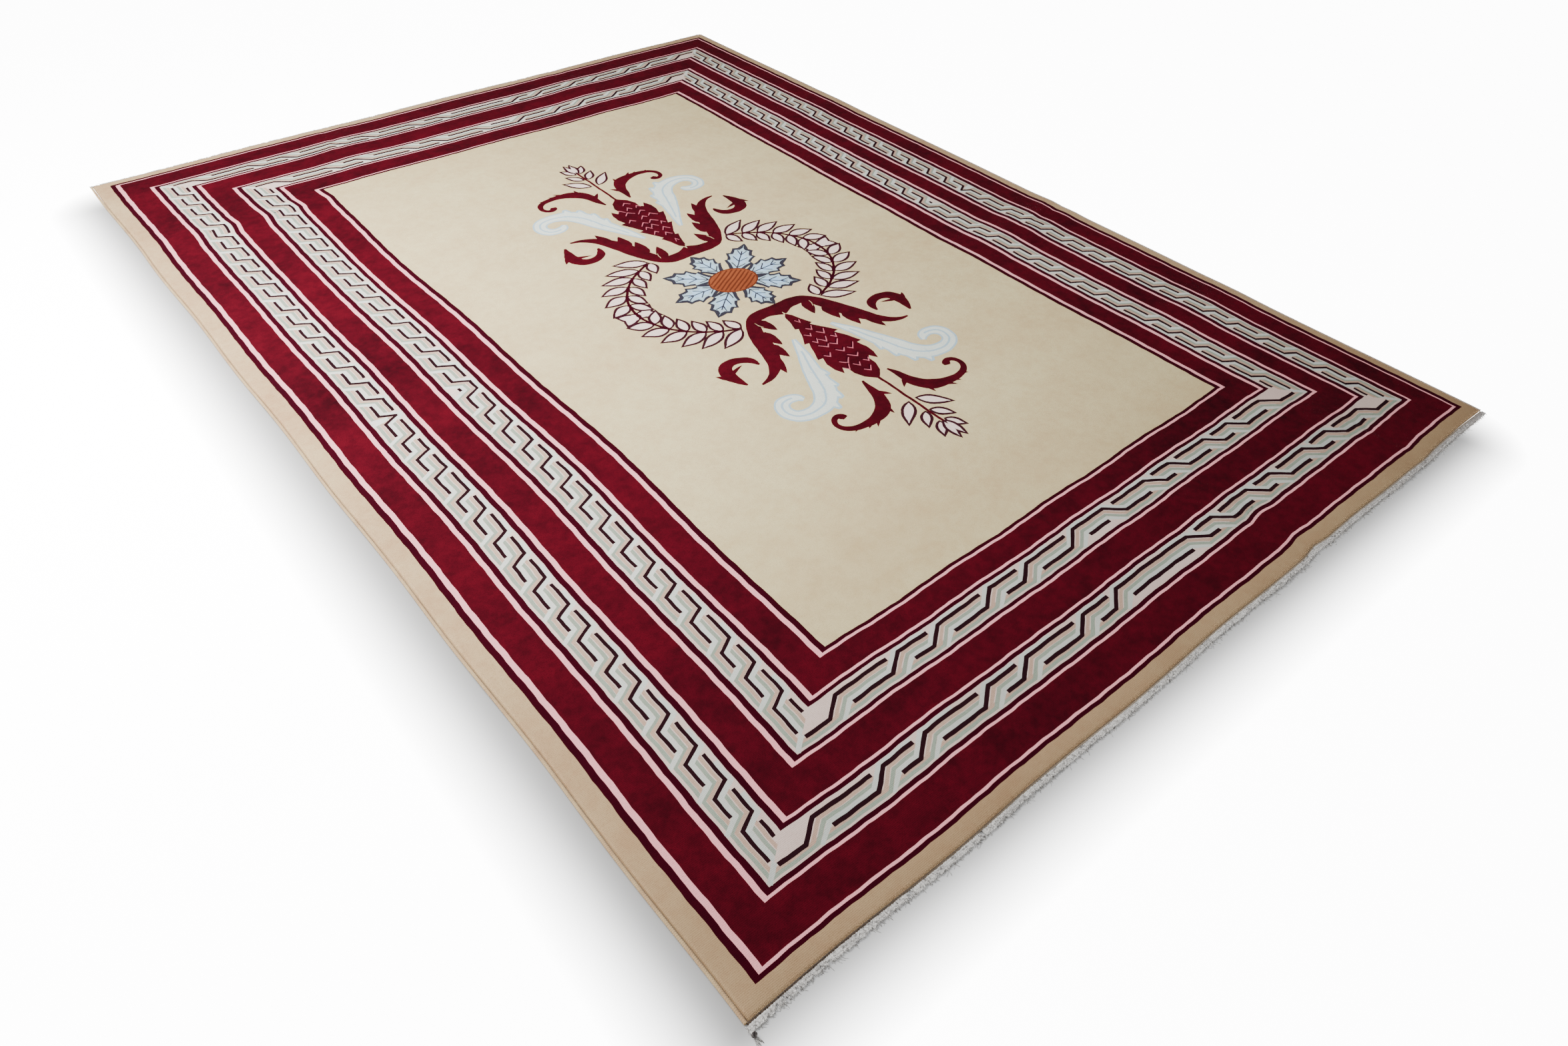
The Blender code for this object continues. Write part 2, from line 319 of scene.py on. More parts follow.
# Spray at each end of the medallion: stem, side leaves and buds
SPRAY_START = 0.672
SPRAY_END = 0.945
STEM_WIDTH = 0.0090
SPRAY_LEAVES = (
    Leaflet((0.012, 0.808), (0.091, 0.888), 0.046),
    Leaflet((0.006, 0.868), (0.055, 0.929), 0.038),
    Leaflet((0.008, 0.922), (0.046, 0.983), 0.036),
    Leaflet((0.003, 0.928), (0.012, 1.014), 0.034),
)

# How closely outlines are stepped, and how far knots let them stray
OUTLINE_STEP = 0.014
FINE_STEP = 0.010
WOBBLE = 0.0003
DRIFT = 0.0006
# Half the width at which a leaf, petal or spine ends, and the limit on mitres at sharp bends
LEAF_END = 0.0004
SPINE_END = 0.0006
LEAST_MITRE_COSINE = 0.625

# The net of triangles, and the pile's rim: distance inside its edge, drop below its top
GRID_STEP = 0.045
CREASE_ROWS = 6
CREASE_PLACES = 10
CREASE_MARGIN = 0.010
RIM_PROFILE = (
    (0.0000, 0.0066),
    (0.0007, 0.0042),
    (0.0020, 0.0026),
    (0.0042, 0.0009),
    (0.0075, 0.0000),
)
PILE_UNEVEN = 0.00025
FOUNDATION_INSET = 0.0025
FOUNDATION_TOP = 0.0060
FOUNDATION_COLUMNS = 60
FOUNDATION_ROWS = 84

# The yarn's pitch in the pile, the weaves and the wrapped edges
PILE_PITCH = 0.0034
BACK_PITCH = 0.0032
OVERCAST_PITCH = 0.0042
END_PITCH = 0.0050
TWINING_PITCH = 0.0050
# A wrapped edge's radius between its turns, and how much it varies, as shares of the whole radius
WRAP_FURROW = 0.88
WRAP_UNEVEN = 0.05
# The twining stops a little short of the rug's corners and lies a little off the floor
TWINING_SHORTER = 0.010
TWINING_RISE = 0.0008

# Flat-woven ends: a ragged edge with gaps, which are (from, to) in warps wide and in metres deep
STRIP_COLUMNS = 1041
STRIP_ROWS = 10
STRIP_RAGGED = 0.0011
STRIP_WAVE = 0.0012
STRIP_WAVE_TURN = 0.083
STRIP_SLACK = 0.0020
STRIP_MOST_SHORT = 0.0035
STRIP_GAPS = 30
STRIP_GAPS_AT_LEFT = 14
STRIP_GAP_WIDTH = (2, 6)
STRIP_GAP_DEPTH = (0.002, 0.008)
STRIP_UNDER_TWINING = 0.0006
STRIP_RELIEF = 0.0006
STRIP_LOOSE = 0.00035
STRIP_MEAN_DROP = 0.0010

# Loose warp ends
STRANDS_PER_END = 2600
STRAND_SHORTEST = 0.0010
STRAND_USUAL = 0.0024
STRAND_LONGEST = 0.014
STRAND_LEAN = 0.45
STRAND_BEND = 0.60
STRAND_ROOT = 0.0055
STRAND_OVER_STRIP = 0.0095
STRAND_LONGER_OVER_STRIP = 0.002
STRAND_REACH_OUT = 0.0030
STRAND_RADII = (0.0006, 0.0012)
STRAND_RISE = 0.0022
STRAND_SUNK = 0.0014
STRAND_STEP = 0.0030
STRAND_SIDES = 3
STRAND_PLACES = (0.0, 0.35, 0.7, 1.0)
STRAND_TAPER = (1.0, 0.95, 0.75, 0.35)

# The knotted tuft at the near left corner
TUFT_STRANDS = 18
TUFT_LOCKS = 6
TUFT_SPREAD = 0.0022
TUFT_RADIUS = 0.0013
TUFT_KNOT_X = 0.004 - HALF_WIDTH
KNOT_RADIUS = 0.0056
KNOT_HALF_LENGTH = 0.0045

# Seeds for what varies by chance
WEAVE_SEED = 5
OVERCAST_SEED = 3
TWINING_SEED = 8
STRIP_SEED = 20
FRINGE_SEED = 41


def srgb(red, green, blue):
    """A colour given as display values from 0 to 255, as linear values."""
    values = np.array((red, green, blue)) / 255
    return tuple(np.where(values < 0.04045, values / 12.92, ((values + 0.055) / 1.055) ** 2.4))


# Grey painted shade that the weaves take on towards the right
PAINTED_SHADE_GREY = srgb(150, 142, 138)

# Wools: display colour, the deeper tone it shades to, how strongly it is mottled, its share of painted
# shade towards the near end and the right side
Wool = namedtuple("Wool", "colour deep mottle soil")
WOOLS = {
    "cream": Wool((212, 198, 152), (194, 170, 128), 0.90, 0.6),
    "tan": Wool((190, 165, 127), (170, 136, 103), 0.90, 1.0),
    "red": Wool((81, 9, 23), (43, 5, 13), 0.95, 0.0),
    "pink": Wool((244, 168, 174), (226, 142, 150), 0.40, 0.3),
    "dark": Wool((54, 3, 17), (30, 2, 10), 0.50, 0.0),
    "ink": Wool((38, 14, 20), (24, 10, 16), 0.60, 0.0),
    "pale": Wool((218, 198, 188), (198, 170, 160), 0.40, 0.7),
    "mist": Wool((208, 212, 204), (184, 188, 182), 0.40, 1.0),
    "sage": Wool((148, 158, 144), (122, 134, 118), 0.40, 0.4),
    "beige": Wool((188, 160, 142), (162, 130, 112), 0.40, 0.5),
    "plume": Wool((220, 226, 216), (198, 208, 198), 0.60, 0.0),
    "ash": Wool((168, 192, 204), (146, 172, 186), 0.40, 0.0),
    "petal": Wool((234, 212, 202), (214, 188, 178), 0.40, 0.0),
    "blue": Wool((178, 208, 234), (130, 168, 206), 0.60, 0.0),
    "rose": Wool((196, 104, 118), (160, 76, 90), 0.60, 0.0),
    "slate": Wool((52, 50, 60), (38, 36, 44), 0.40, 0.0),
    "rust": Wool((142, 76, 46), (114, 52, 32), 0.60, 0.0),
    "umber": Wool((98, 46, 28), (74, 32, 18), 0.40, 0.0),
    "plum": Wool((54, 20, 30), (38, 12, 18), 0.40, 0.0),
}


# ---- how the rug lies


def smooth_step(share):
    share = np.clip(share, 0, 1)
    return share * share * (3 - 2 * share)


def in_ripple(ripple, x, y):
    """Places measured from a ripple's centre along its crest and across it, as shares of its size."""
    heading = math.radians(ripple.heading)
    dx = x - ripple.x
    dy = y - ripple.y
    along = (dx * math.cos(heading) + dy * math.sin(heading)) / ripple.half_length
    across = (dy * math.cos(heading) - dx * math.sin(heading)) / ripple.half_breadth
    return along, across


def lift(x, y):
    """How far the underside stands off the floor. It fades out along the fringe."""
    height = np.zeros(np.shape(x))
    for ripple in RIPPLES:
        along, across = in_ripple(ripple, x, y)
        inside = (np.abs(along) < 1) & (np.abs(across) < 1)
        crest = ripple.height * (np.cos(along * QUARTER_TURN) * np.cos(across * QUARTER_TURN)) ** 2
        height = np.maximum(height, np.where(inside, crest, 0))
    beyond_end = (np.abs(y) - HALF_LENGTH) / FRINGE_REACH
    return height * (1 - smooth_step(beyond_end))


def wave_sum(waves, distance):
    turns = 2 * np.pi * distance
    return sum(wave.amplitude * np.sin(turns / wave.wavelength + wave.phase) for wave in waves)


def nested(count):
    """The rectangle left inside the first few rows of the border: left, right, near and far edge."""
    inset = {side: sum(getattr(row, side) for row in BORDER_ROWS[:count]) for side in SIDES}
    return (
        inset["left"] - HALF_WIDTH,
        HALF_WIDTH - inset["right"],
        inset["near"] - HALF_LENGTH,
        HALF_LENGTH - inset["far"],
    )


FIELD_LEFT, FIELD_RIGHT, FIELD_NEAR, FIELD_FAR = nested(len(BORDER_ROWS))


def side_shift(side, at, edge, field, middle, distance):
    """A side's shift: its edge's wander, changing to its field's and fading to the middle."""
    outward = np.clip((at - field) / (edge - field), 0, 1)
    inward = np.clip((at - middle) / (field - middle), 0, 1)
    edge_part = outward * wave_sum(EDGE_WANDER[side], distance)
    return edge_part + (1 - outward) * inward * wave_sum(FIELD_WANDER[side], distance)


def pinch(kink, x, y):
    """The share of a kink's shift at a point: a sharp V across it, fading along it."""
    across = (x - kink.x) / kink.half_width
    along = (y - kink.y) / kink.half_height
    if kink.half_width >= kink.half_height:
        across, along = along, across
    return np.clip(1 - np.abs(across), 0, 1) * (1 - smooth_step(np.abs(along)))


def settle(x, y):
    """Where a point of the flat layout comes to lie in plan."""
    shift_x = side_shift("left", x, -HALF_WIDTH, FIELD_LEFT, END_MIDDLE, y)
    shift_x = shift_x + side_shift("right", x, HALF_WIDTH, FIELD_RIGHT, END_MIDDLE, y)
    shift_y = side_shift("near", y, -HALF_LENGTH, FIELD_NEAR, LONG_MIDDLE, x)
    shift_y = shift_y + side_shift("far", y, HALF_LENGTH, FIELD_FAR, LONG_MIDDLE, x)
    for kink in KINKS:
        share = pinch(kink, x, y)
        shift_x = shift_x + kink.shift_x * share
        shift_y = shift_y + kink.shift_y * share
    return x + shift_x, y + shift_y


def lie(x, y, z):
    """Points of the flat layout as they lie, in rows of x, y and z."""
    laid_x, laid_y = settle(x, y)
    return np.stack((laid_x, laid_y, z + lift(x, y)), axis=-1)


def pile_height(x, y):
    """Height of the pile over the underside, rounded down at its rim and a little uneven."""
    inside = np.minimum(PILE_HALF_WIDTH - np.abs(x), HALF_LENGTH - np.abs(y))
    distances, drops = zip(*RIM_PROFILE)
    uneven = np.sin(x * 23 + 2.2 * np.sin(y * 7)) * np.sin(y * 19 + 1.7 * np.sin(x * 9))
    height = PILE_TOP - np.interp(inside, distances, drops) + PILE_UNEVEN * uneven
    for crease in CREASES:
        along, across = in_ripple(crease, x, y)
        step = np.sin(np.clip(across, -1, 1) * math.pi)
        fade = np.cos(np.clip(along, -1, 1) * QUARTER_TURN)
        height = height + crease.height / 2 * (step * fade)
    return height


# ---- outlines


def heading_of(degrees):
    """The direction at an angle from +X."""
    angle = math.radians(degrees)
    return Vector((math.cos(angle), math.sin(angle)))


def stepped(outline, step):
    """A closed outline with points added, so that none are further apart than step."""
    points = []
    for start, stop in zip(outline, outline[1:] + outline[:1]):
        count = max(1, math.ceil(math.dist(start, stop) / step))
        for index in range(count):
            share = index / count
            points.append(tuple(a + (b - a) * share for a, b in zip(start, stop)))
    return points


def waver(x, y):
    """The slow drift of the knotting, the same for every outline that passes a place."""
    across = math.sin(61 * y + 2.1 * math.sin(23 * x)) + 0.6 * math.sin(143 * y + 37 * x)
    along = math.sin(57 * x + 1.9 * math.sin(29 * y)) + 0.6 * math.sin(131 * x - 41 * y)
    return DRIFT * across, DRIFT * along


def wobbled(outline, chance):
    """The outline with each point a little off, as knots can't follow a line exactly."""
    points = []
    for x, y in outline:
        across, along = waver(x, y)
        across += chance.uniform(-WOBBLE, WOBBLE)
        along += chance.uniform(-WOBBLE, WOBBLE)
        points.append((x + across, y + along))
    return points


def ribbon(line, half_widths):
    """The outline of a line that has half its width given at each point, mitred at its bends."""
    left, right = [], []
    last = len(line) - 1
    for index, (point, half_width) in enumerate(zip(line, half_widths)):
        here = Vector(point)
        before = (here - Vector(line[max(index - 1, 0)])).normalized()
        after = (Vector(line[min(index + 1, last)]) - here).normalized()
        heading = (before + after).normalized()
        mitre = 1 / max(heading.dot(after if index < last else before), LEAST_MITRE_COSINE)
        offset = Vector((-heading.y, heading.x)) * half_width * mitre
        left.append(tuple(here + offset))
        right.append(tuple(here - offset))
    return left + right[::-1]


def smoothed(rows, steps=4):
    """A smooth curve through rows of numbers (Catmull-Rom), with steps points for each span."""
    rows = np.array(rows, float)
    padded = np.concatenate((rows[:1] * 2 - rows[1:2], rows, rows[-1:] * 2 - rows[-2:-1]))
    curve = []
    for a, b, c, d in zip(padded, padded[1:], padded[2:], padded[3:]):
        for index in range(steps):
            t = index / steps
            square = (2 * a - 5 * b + 4 * c - d) * t**2
            cube = (3 * b - a - 3 * c + d) * t**3
            curve.append((2 * b + (c - a) * t + square + cube) / 2)
    curve.append(rows[-1])
    return np.array(curve)


def spine_outline(spine, grow=0.0):
    """The outline of a curved form from its spine, made wider by grow."""
    curve = smoothed(spine)
    half_widths = np.maximum(curve[:, 2] + grow, SPINE_END)
    return ribbon([tuple(point) for point in curve[:, :2]], half_widths)


def leaf_outline(base, tip, width, inset=0.0):
    """A pointed oval from base to tip, drawn in by inset all round."""
    base, tip = Vector(base), Vector(tip)
    axis = tip - base
    first = inset / axis.length
    last = 1 - 1.5 * inset / axis.length
    shares = [first + (last - first) * index / 8 for index in range(9)]
    fullness = [math.sin(math.pi * share**0.8) for share in shares]
    half_widths = [max(width / 2 * full - inset, LEAF_END) for full in fullness]
    return ribbon([tuple(base + axis * share) for share in shares], half_widths)


def leaflet_outline(leaflet, grow=0.0):
    """A leaflet broad at its base and drawn out to its tip."""
    base, tip = Vector(leaflet.base), Vector(leaflet.tip)
    tip = tip + (tip - base).normalized() * grow
    shares = (0.0, 0.2, 0.45, 0.7, 0.88, 1.0)
    fullness = (0.7, 1.0, 0.92, 0.6, 0.28, 0.03)
    line = [tuple(base.lerp(tip, share)) for share in shares]
    return ribbon(line, [leaflet.width / 2 * full + grow for full in fullness])


# ---- the painted pattern


class Painting:
    """Outlines in the order in which they are laid over each other, each with its wool."""

    def __init__(self):
        self.outlines = []
        self.chance = random.Random(WEAVE_SEED)

    def add(self, wool, outline, step=OUTLINE_STEP, wobble=True):
        outline = stepped(outline, step)
        if wobble:
            outline = wobbled(outline, self.chance)
        self.outlines.append((wool, outline))


def rectangle(left, right, near, far):
    return [(left, near), (right, near), (right, far), (left, far)]


def paint_rows(painting):
    """The pile's rim, the border's stripes and the plain field."""
    for distance, _ in RIM_PROFILE:
        x = PILE_HALF_WIDTH - distance
        y = HALF_LENGTH - distance
        painting.add("tan", rectangle(-x, x, -y, y), wobble=False)
    for count, row in enumerate(BORDER_ROWS[1:], start=1):
        painting.add(row.wool, rectangle(*nested(count)))
    painting.add("cream", rectangle(*nested(len(BORDER_ROWS))))


class BandSide:
    """One half of a meander band on one side of the rug, from the side's middle to its corner.

    A place in it is a distance s from the middle and a share t of the width from the outer edge.
    """

    def __init__(self, row, side, towards):
        self.is_long = side in ("left", "right")
        outer = nested(row)
        inner = nested(row + 1)
        edge = SIDES.index(side)
        self.outer_edge = outer[edge]
        self.inner_edge = inner[edge]
        self.towards = towards
        self.middle = LONG_MIDDLE if self.is_long else END_MIDDLE
        corner = (2 if self.is_long else 0) + (1 if towards > 0 else 0)
        self.outer_end = abs(outer[corner] - self.middle)
        self.inner_end = abs(inner[corner] - self.middle)
        self.width = abs(self.inner_edge - self.outer_edge)

    def end(self, t):
        return self.outer_end + (self.inner_end - self.outer_end) * t

    def place(self, s, t):
        s = min(s, self.end(t))
        along = self.middle + self.towards * s
        across = self.outer_edge + (self.inner_edge - self.outer_edge) * t
        return (across, along) if self.is_long else (along, across)

    def line(self, places, width):
        """A ribbon of even width through places in the band, clipped at the mitred corner."""
        real = [(s, t * self.width) for s, t in places]
        outline = ribbon(real, [width / 2] * len(real))
        return [self.place(s, min(max(u / self.width, 0.0), 1.0)) for s, u in outline]


def key_places(side, shape, first, shares, chance):
    """How far each key's outer bend is from the middle of the side."""
    reach = side.end(shape.outer_lane) - shape.end_bar
    gaps = round((reach - first) / shape.pitch)
    pitch = (reach - first) / gaps
    places = [first]
    for index in range(gaps):
        places.append(places[-1] + pitch * shares[index % len(shares)])
    places = [first + (place - first) * (reach - first) / (places[-1] - first) for place in places]
    return [places[0]] + [place + chance.uniform(-1, 1) * shape.uneven for place in places[1:]]


def slant(shape, s, t):
    """Where a line parallel to a jog, which crosses the outer lane at s, crosses t."""
    return s + shape.jog * (shape.outer_lane - t) / (shape.inner_lane - shape.outer_lane)


def strand_places(side, shape, strand, here, following, is_first):
    """A strand's way from the bend of one key to the next, and on beside that key."""
    between = shape.outer_lane + (shape.inner_lane - shape.outer_lane) * strand.between
    enter = here + shape.inner_gap * STRAND_ENTRY
    goes_under = strand.wool == "mist"
    places = []
    if goes_under and not is_first:
        inner_strip = (1 + shape.inner_lane) / 2
        places.append((max(slant(shape, here - shape.outer_gap, 1), 0), inner_strip))
        places.append((slant(shape, enter, inner_strip), inner_strip))
    places.append((max(slant(shape, enter, between), 0), between))
    if following >= side.outer_end:
        return places + [(side.outer_end, between)]
    leave = following - shape.outer_gap * (STRAND_EXIT - strand.between)
    places.append((max(slant(shape, leave, between), places[-1][0] + LEAST_RUN), between))
    places.append((slant(shape, leave, strand.outside), strand.outside))
    if not goes_under:
        places.append((leave + 2 * shape.pitch, strand.outside))
    return places


def paint_strands(painting, side, shape, keys):
    """The ribbons of light strands that run between the keys."""
    bends = [-shape.outer_gap] + keys
    if shape.corner_bar:
        bends.append(side.outer_end)
    for index, (here, following) in enumerate(zip(bends, bends[1:])):
        for strand in STRANDS:
            places = strand_places(side, shape, strand, here, following, index == 0)
            painting.add(strand.wool, side.line(places, strand.width))


def paint_keys(painting, side, shape, keys):
    """The dark keys of one half side."""
    outer, inner = shape.outer_lane, shape.inner_lane
    lines = []
    for index, bend in enumerate(keys):
        jog_start = bend - shape.jog
        bar_start = keys[index - 1] - shape.jog + shape.inner_gap if index else -OVERLAP
        is_last = index == len(keys) - 1
        bar_end = side.end(outer) - CORNER_MARGIN if is_last else keys[index + 1] - shape.outer_gap
        line = [(bar_start, inner)] if bar_start < jog_start - LEAST_RUN else []
        lines.append(line + [(max(jog_start, -OVERLAP), inner), (bend, outer), (bar_end, outer)])
    first_gap = keys[0] - shape.outer_gap
    if first_gap > 3 * LEAST_RUN:
        lines.append([(-OVERLAP, outer), (first_gap, outer)])
    if shape.corner_bar:
        start = keys[-1] - shape.jog + shape.inner_gap
        lines.append([(start, inner), (side.end(inner) - CORNER_MARGIN, inner)])
    for line in lines:
        painting.add("ink", side.line(line, shape.bar_width))


def paint_mitres(painting, row):
    """The light diagonal at each corner of a band."""
    outer = rectangle(*nested(row))
    inner = rectangle(*nested(row + 1))
    for corner, inside in zip(outer, inner):
        corner, inside = Vector(corner), Vector(inside)
        line = [tuple(corner.lerp(inside, share)) for share in MITRE_SPAN]
        painting.add("mist", ribbon(line, [MITRE_WIDTH / 2] * 2))


def paint_bands(painting):
    for band in BANDS:
        halves = []
        for name in SIDES:
            for towards in (-1, 1):
                side = BandSide(band.row, name, towards)
                shape = LONG_MEANDER if side.is_long else END_MEANDER
                first = band.first_on_long if side.is_long else band.first_on_end
                shares = (1.0,) if side.is_long else band.pitch_shares_on_end
                keys = key_places(side, shape, first, shares, painting.chance)
                halves.append((side, shape, keys))
        for side, shape, keys in halves:
            paint_strands(painting, side, shape, keys)
        paint_mitres(painting, band.row)
        for side, shape, keys in halves:
            paint_keys(painting, side, shape, keys)


def on_medallion(across, along):
    """The place on the rug of a distance across and along from the medallion's centre."""
    return MEDALLION_X + across, MEDALLION_Y + MEDALLION_STRETCH * along


def paint_mirrored(painting, wool, outline, mirrors, step=FINE_STEP):
    """An outline of the medallion, as it stands and mirrored."""
    for across, along in mirrors:
        placed = [on_medallion(across * x, along * y) for x, y in outline]
        painting.add(wool, placed, step)


def paint_four(painting, wool, outline):
    """An outline of the medallion in each of its four quarters."""
    paint_mirrored(painting, wool, outline, QUARTERS)


def paint_two(painting, wool, half):
    """A form on the medallion's long axis, given by half its outline, at both ends."""
    whole = half + [(-x, y) for x, y in half[::-1] if x > 0]
    paint_mirrored(painting, wool, whole, ENDS)


def paint_scrolls(painting):
    """The pale scrolls, the acanthus arms with their hooks, and the small scrolls."""
    for wool, grow in (("ash", SCROLL_RIM), ("plume", 0.0)):
        paint_four(painting, wool, spine_outline(PALE_SCROLL, grow))
        for leaflet in PALE_LEAFLETS:
            paint_four(painting, wool, leaflet_outline(leaflet, grow))
    vein = smoothed(PALE_SCROLL)[SCROLL_VEIN_SPAN]
    paint_four(painting, "ash", ribbon(vein[:, :2].tolist(), [SCROLL_VEIN / 2] * len(vein)))
    for leaflet in PALE_LEAFLETS:
        paint_four(painting, "ash", leaflet_fold(leaflet))
    for spine in (ACANTHUS_ARM, HOOK, SMALL_SCROLL):
        paint_four(painting, "red", spine_outline(spine, RED_GROWTH))
    for leaflet in ARM_LEAFLETS + SMALL_LEAFLETS:
        paint_four(painting, "red", leaflet_outline(leaflet))
    paint_four(painting, "cream", leaflet_fold(ARM_LEAFLETS[0]))


def leaflet_fold(leaflet):
    """A thin slit beside a leaflet, where it folds over the form that it grows from."""
    base = Vector(leaflet.base)
    along = Vector(leaflet.tip) - base
    aside = Vector((along.y, -along.x)).normalized() * FOLD_OFFSET
    line = [base - 0.05 * along + aside, base + 0.18 * along + 1.2 * aside, base + 0.40 * along + aside]
    return ribbon([tuple(point) for point in line], FOLD_HALF_WIDTHS)


def scale_lines(row, chance):
    """A chevron for each scale of a row, with its point towards the cone's tip."""
    half = row.half_width / row.scales
    lines = []
    for index in range(row.scales):
        x = half * (2 * index + 1) - row.half_width + chance.uniform(-1, 1) * SCALE_STRAY
        y = row.along + chance.uniform(-1, 1) * SCALE_STRAY
        left, right = chance.uniform(*SCALE_REACH), chance.uniform(*SCALE_REACH)
        start = (x - left * half, y + (1 - 1.2 * left) * SCALE_DEPTH)
        stop = (x + right * half, y + (1 - 1.2 * right) * SCALE_DEPTH)
        lines.append([start, (x, y + SCALE_DEPTH), stop])
    return lines


def paint_cones(painting):
    """The scaled cones, with a line and a shade for each scale."""
    paint_two(painting, "red", list(CONE))
    for row in SCALE_ROWS:
        for line in scale_lines(row, painting.chance):
            chevron = ribbon(line, [0.35 * SCALE_LINE, 0.5 * SCALE_LINE, 0.35 * SCALE_LINE])
            shade = ribbon([(x, y - 1.6 * SCALE_LINE) for x, y in line], [0.5 * SCALE_LINE] * 3)
            paint_mirrored(painting, "dark", shade, ENDS, OUTLINE_STEP)
            paint_mirrored(painting, "rose", chevron, ENDS, OUTLINE_STEP)


def rimmed_leaf(painting, base, tip, width):
    paint_four(painting, "plum", leaf_outline(base, tip, width))
    paint_four(painting, "petal", leaf_outline(base, tip, width, LEAF_RIM))


def stem_point(degrees):
    angle = math.radians(degrees)
    return Vector((WREATH_ACROSS * math.cos(angle), WREATH_ALONG * math.sin(angle)))


def paint_wreath(painting):
    """Laurel leaves along both sides of each stem, pointing towards its middle."""
    for degrees in WREATH_LEAVES:
        base = stem_point(degrees)
        forward = (stem_point(degrees - 1) - stem_point(degrees + 1)).normalized()
        for leaf in (OUTER_LEAF, INNER_LEAF):
            heading = forward.copy()
            heading.rotate(Matrix.Rotation(math.radians(leaf.slant), 2))
            length = leaf.length + leaf.growth * degrees
            rimmed_leaf(painting, base, base + heading * length, leaf.width)
    stem = [tuple(stem_point(degrees)) for degrees in range(-1, WREATH_END + 1, 4)]
    paint_four(painting, "dark", ribbon(stem, [STEM_WIDTH / 2] * len(stem)))


def petal_outline(degrees, reach, inset):
    """A lobed petal from near the disc to its tip, drawn in by inset."""
    heading = heading_of(degrees)
    length = reach - PETAL_START
    line, half_widths = [], []
    for share, half_width in PETAL_EDGE:
        distance = PETAL_START + inset + (length - 2.4 * inset) * share
        line.append(tuple(heading * distance))
        half_widths.append(max(half_width - inset, LEAF_END))
    return ribbon(line, half_widths)


def petal_veins(degrees, reach):
    """Lines along a petal's midrib and out towards its lobes."""
    heading = heading_of(degrees)
    aside = Vector((-heading.y, heading.x))
    length = reach - PETAL_START
    lines = [[heading * PETAL_START, heading * (PETAL_START + MIDRIB_REACH * length)]]
    for share, spread in PETAL_VEINS:
        start = heading * (PETAL_START + share * length)
        stop = heading * (PETAL_START + (share + VEIN_REACH) * length)
        lines += [[start, stop + aside * side * spread] for side in (-1, 1)]
    return lines


def paint_rosette(painting):
    """Eight lobed petals round a hatched disc."""
    centre = Vector(on_medallion(*ROSETTE_MIDDLE))
    for wool, inset in (("slate", 0.0), ("ash", PETAL_RIM), ("blue", PETAL_LIGHT)):
        for degrees, reach in PETAL_TIPS:
            outline = petal_outline(degrees, reach, inset)
            painting.add(wool, [tuple(centre + Vector(point)) for point in outline], FINE_STEP)
    for degrees, reach in PETAL_TIPS:
        for line in petal_veins(degrees, reach):
            vein = ribbon([tuple(centre + point) for point in line], [VEIN_WIDTH / 2] * 2)
            painting.add("slate", vein)
    for wool, grow in (("umber", DISC_RIM), ("rust", 0.0)):
        painting.add(wool, ellipse(centre, DISC_ACROSS + grow, DISC_ALONG + grow))
    for outline in hatching(centre):
        painting.add("umber", outline)


def ellipse(centre, across, along, count=48):
    angles = [2 * math.pi * index / count for index in range(count)]
    return [(centre.x + across * math.cos(a), centre.y + along * math.sin(a)) for a in angles]


def hatching(centre):
    """Slanting bars inside the disc, laid out on a circle of radius 1 and drawn out to its oval."""
    run, rise = HATCH_HEADING
    outlines = []
    for index in range(-4, 5):
        offset = index * HATCH_SPACING / DISC_ALONG * run
        half_chord = math.sqrt(1 - offset**2) * HATCH_REACH
        line = []
        for side in (-1, 1):
            across = side * half_chord * run - offset * rise
            along = side * half_chord * rise + offset * run
            line.append((centre.x + DISC_ACROSS * across, centre.y + DISC_ALONG * along))
        outlines.append(ribbon(line, [HATCH_WIDTH / 2] * 2))
    return outlines


def paint_sprays(painting):
    """The stem, leaves and buds at both ends of the medallion."""
    half = STEM_WIDTH / 2
    paint_two(painting, "red", [(half, SPRAY_START), (half, SPRAY_END)])
    for leaf in SPRAY_LEAVES:
        rimmed_leaf(painting, leaf.base, leaf.tip, leaf.width)


def paint_pattern():
    painting = Painting()
    paint_rows(painting)
    paint_bands(painting)
    paint_wreath(painting)
    paint_scrolls(painting)
    paint_cones(painting)
    paint_sprays(painting)
    paint_rosette(painting)
    return painting


# ---- meshes


def grid_points():
    """Points over the whole pile, so that its triangles follow the ripples."""
    columns = math.ceil(2 * PILE_HALF_WIDTH / GRID_STEP)
    rows = math.ceil(2 * HALF_LENGTH / GRID_STEP)
    chance = random.Random(WEAVE_SEED)
    loose = GRID_STEP / 5
    points = []
    for column in range(1, columns):
        for row in range(1, rows):
            x = PILE_HALF_WIDTH * (2 * column / columns - 1) + chance.uniform(-loose, loose)
            y = HALF_LENGTH * (2 * row / rows - 1) + chance.uniform(-loose, loose)
            points.append((x, y))
    for crease in CREASES:
        points += crease_points(crease)
    return points


def crease_points(crease):
    """Closer points over a crease, in rows along it."""
    heading = heading_of(crease.heading)
    aside = Vector((-heading.y, heading.x))
    centre = Vector((crease.x, crease.y))
    points = []
    for row in range(-CREASE_ROWS, CREASE_ROWS + 1):
        for place in range(-CREASE_PLACES, CREASE_PLACES + 1):
            along = (place + 0.5 * (row % 2)) / (CREASE_PLACES + 1) * crease.half_length
            point = centre + heading * along + aside * (row / CREASE_ROWS * crease.half_breadth)
            inside = min(PILE_HALF_WIDTH - abs(point.x), HALF_LENGTH - abs(point.y))
            if inside > CREASE_MARGIN:
                points.append(tuple(point))
    return points


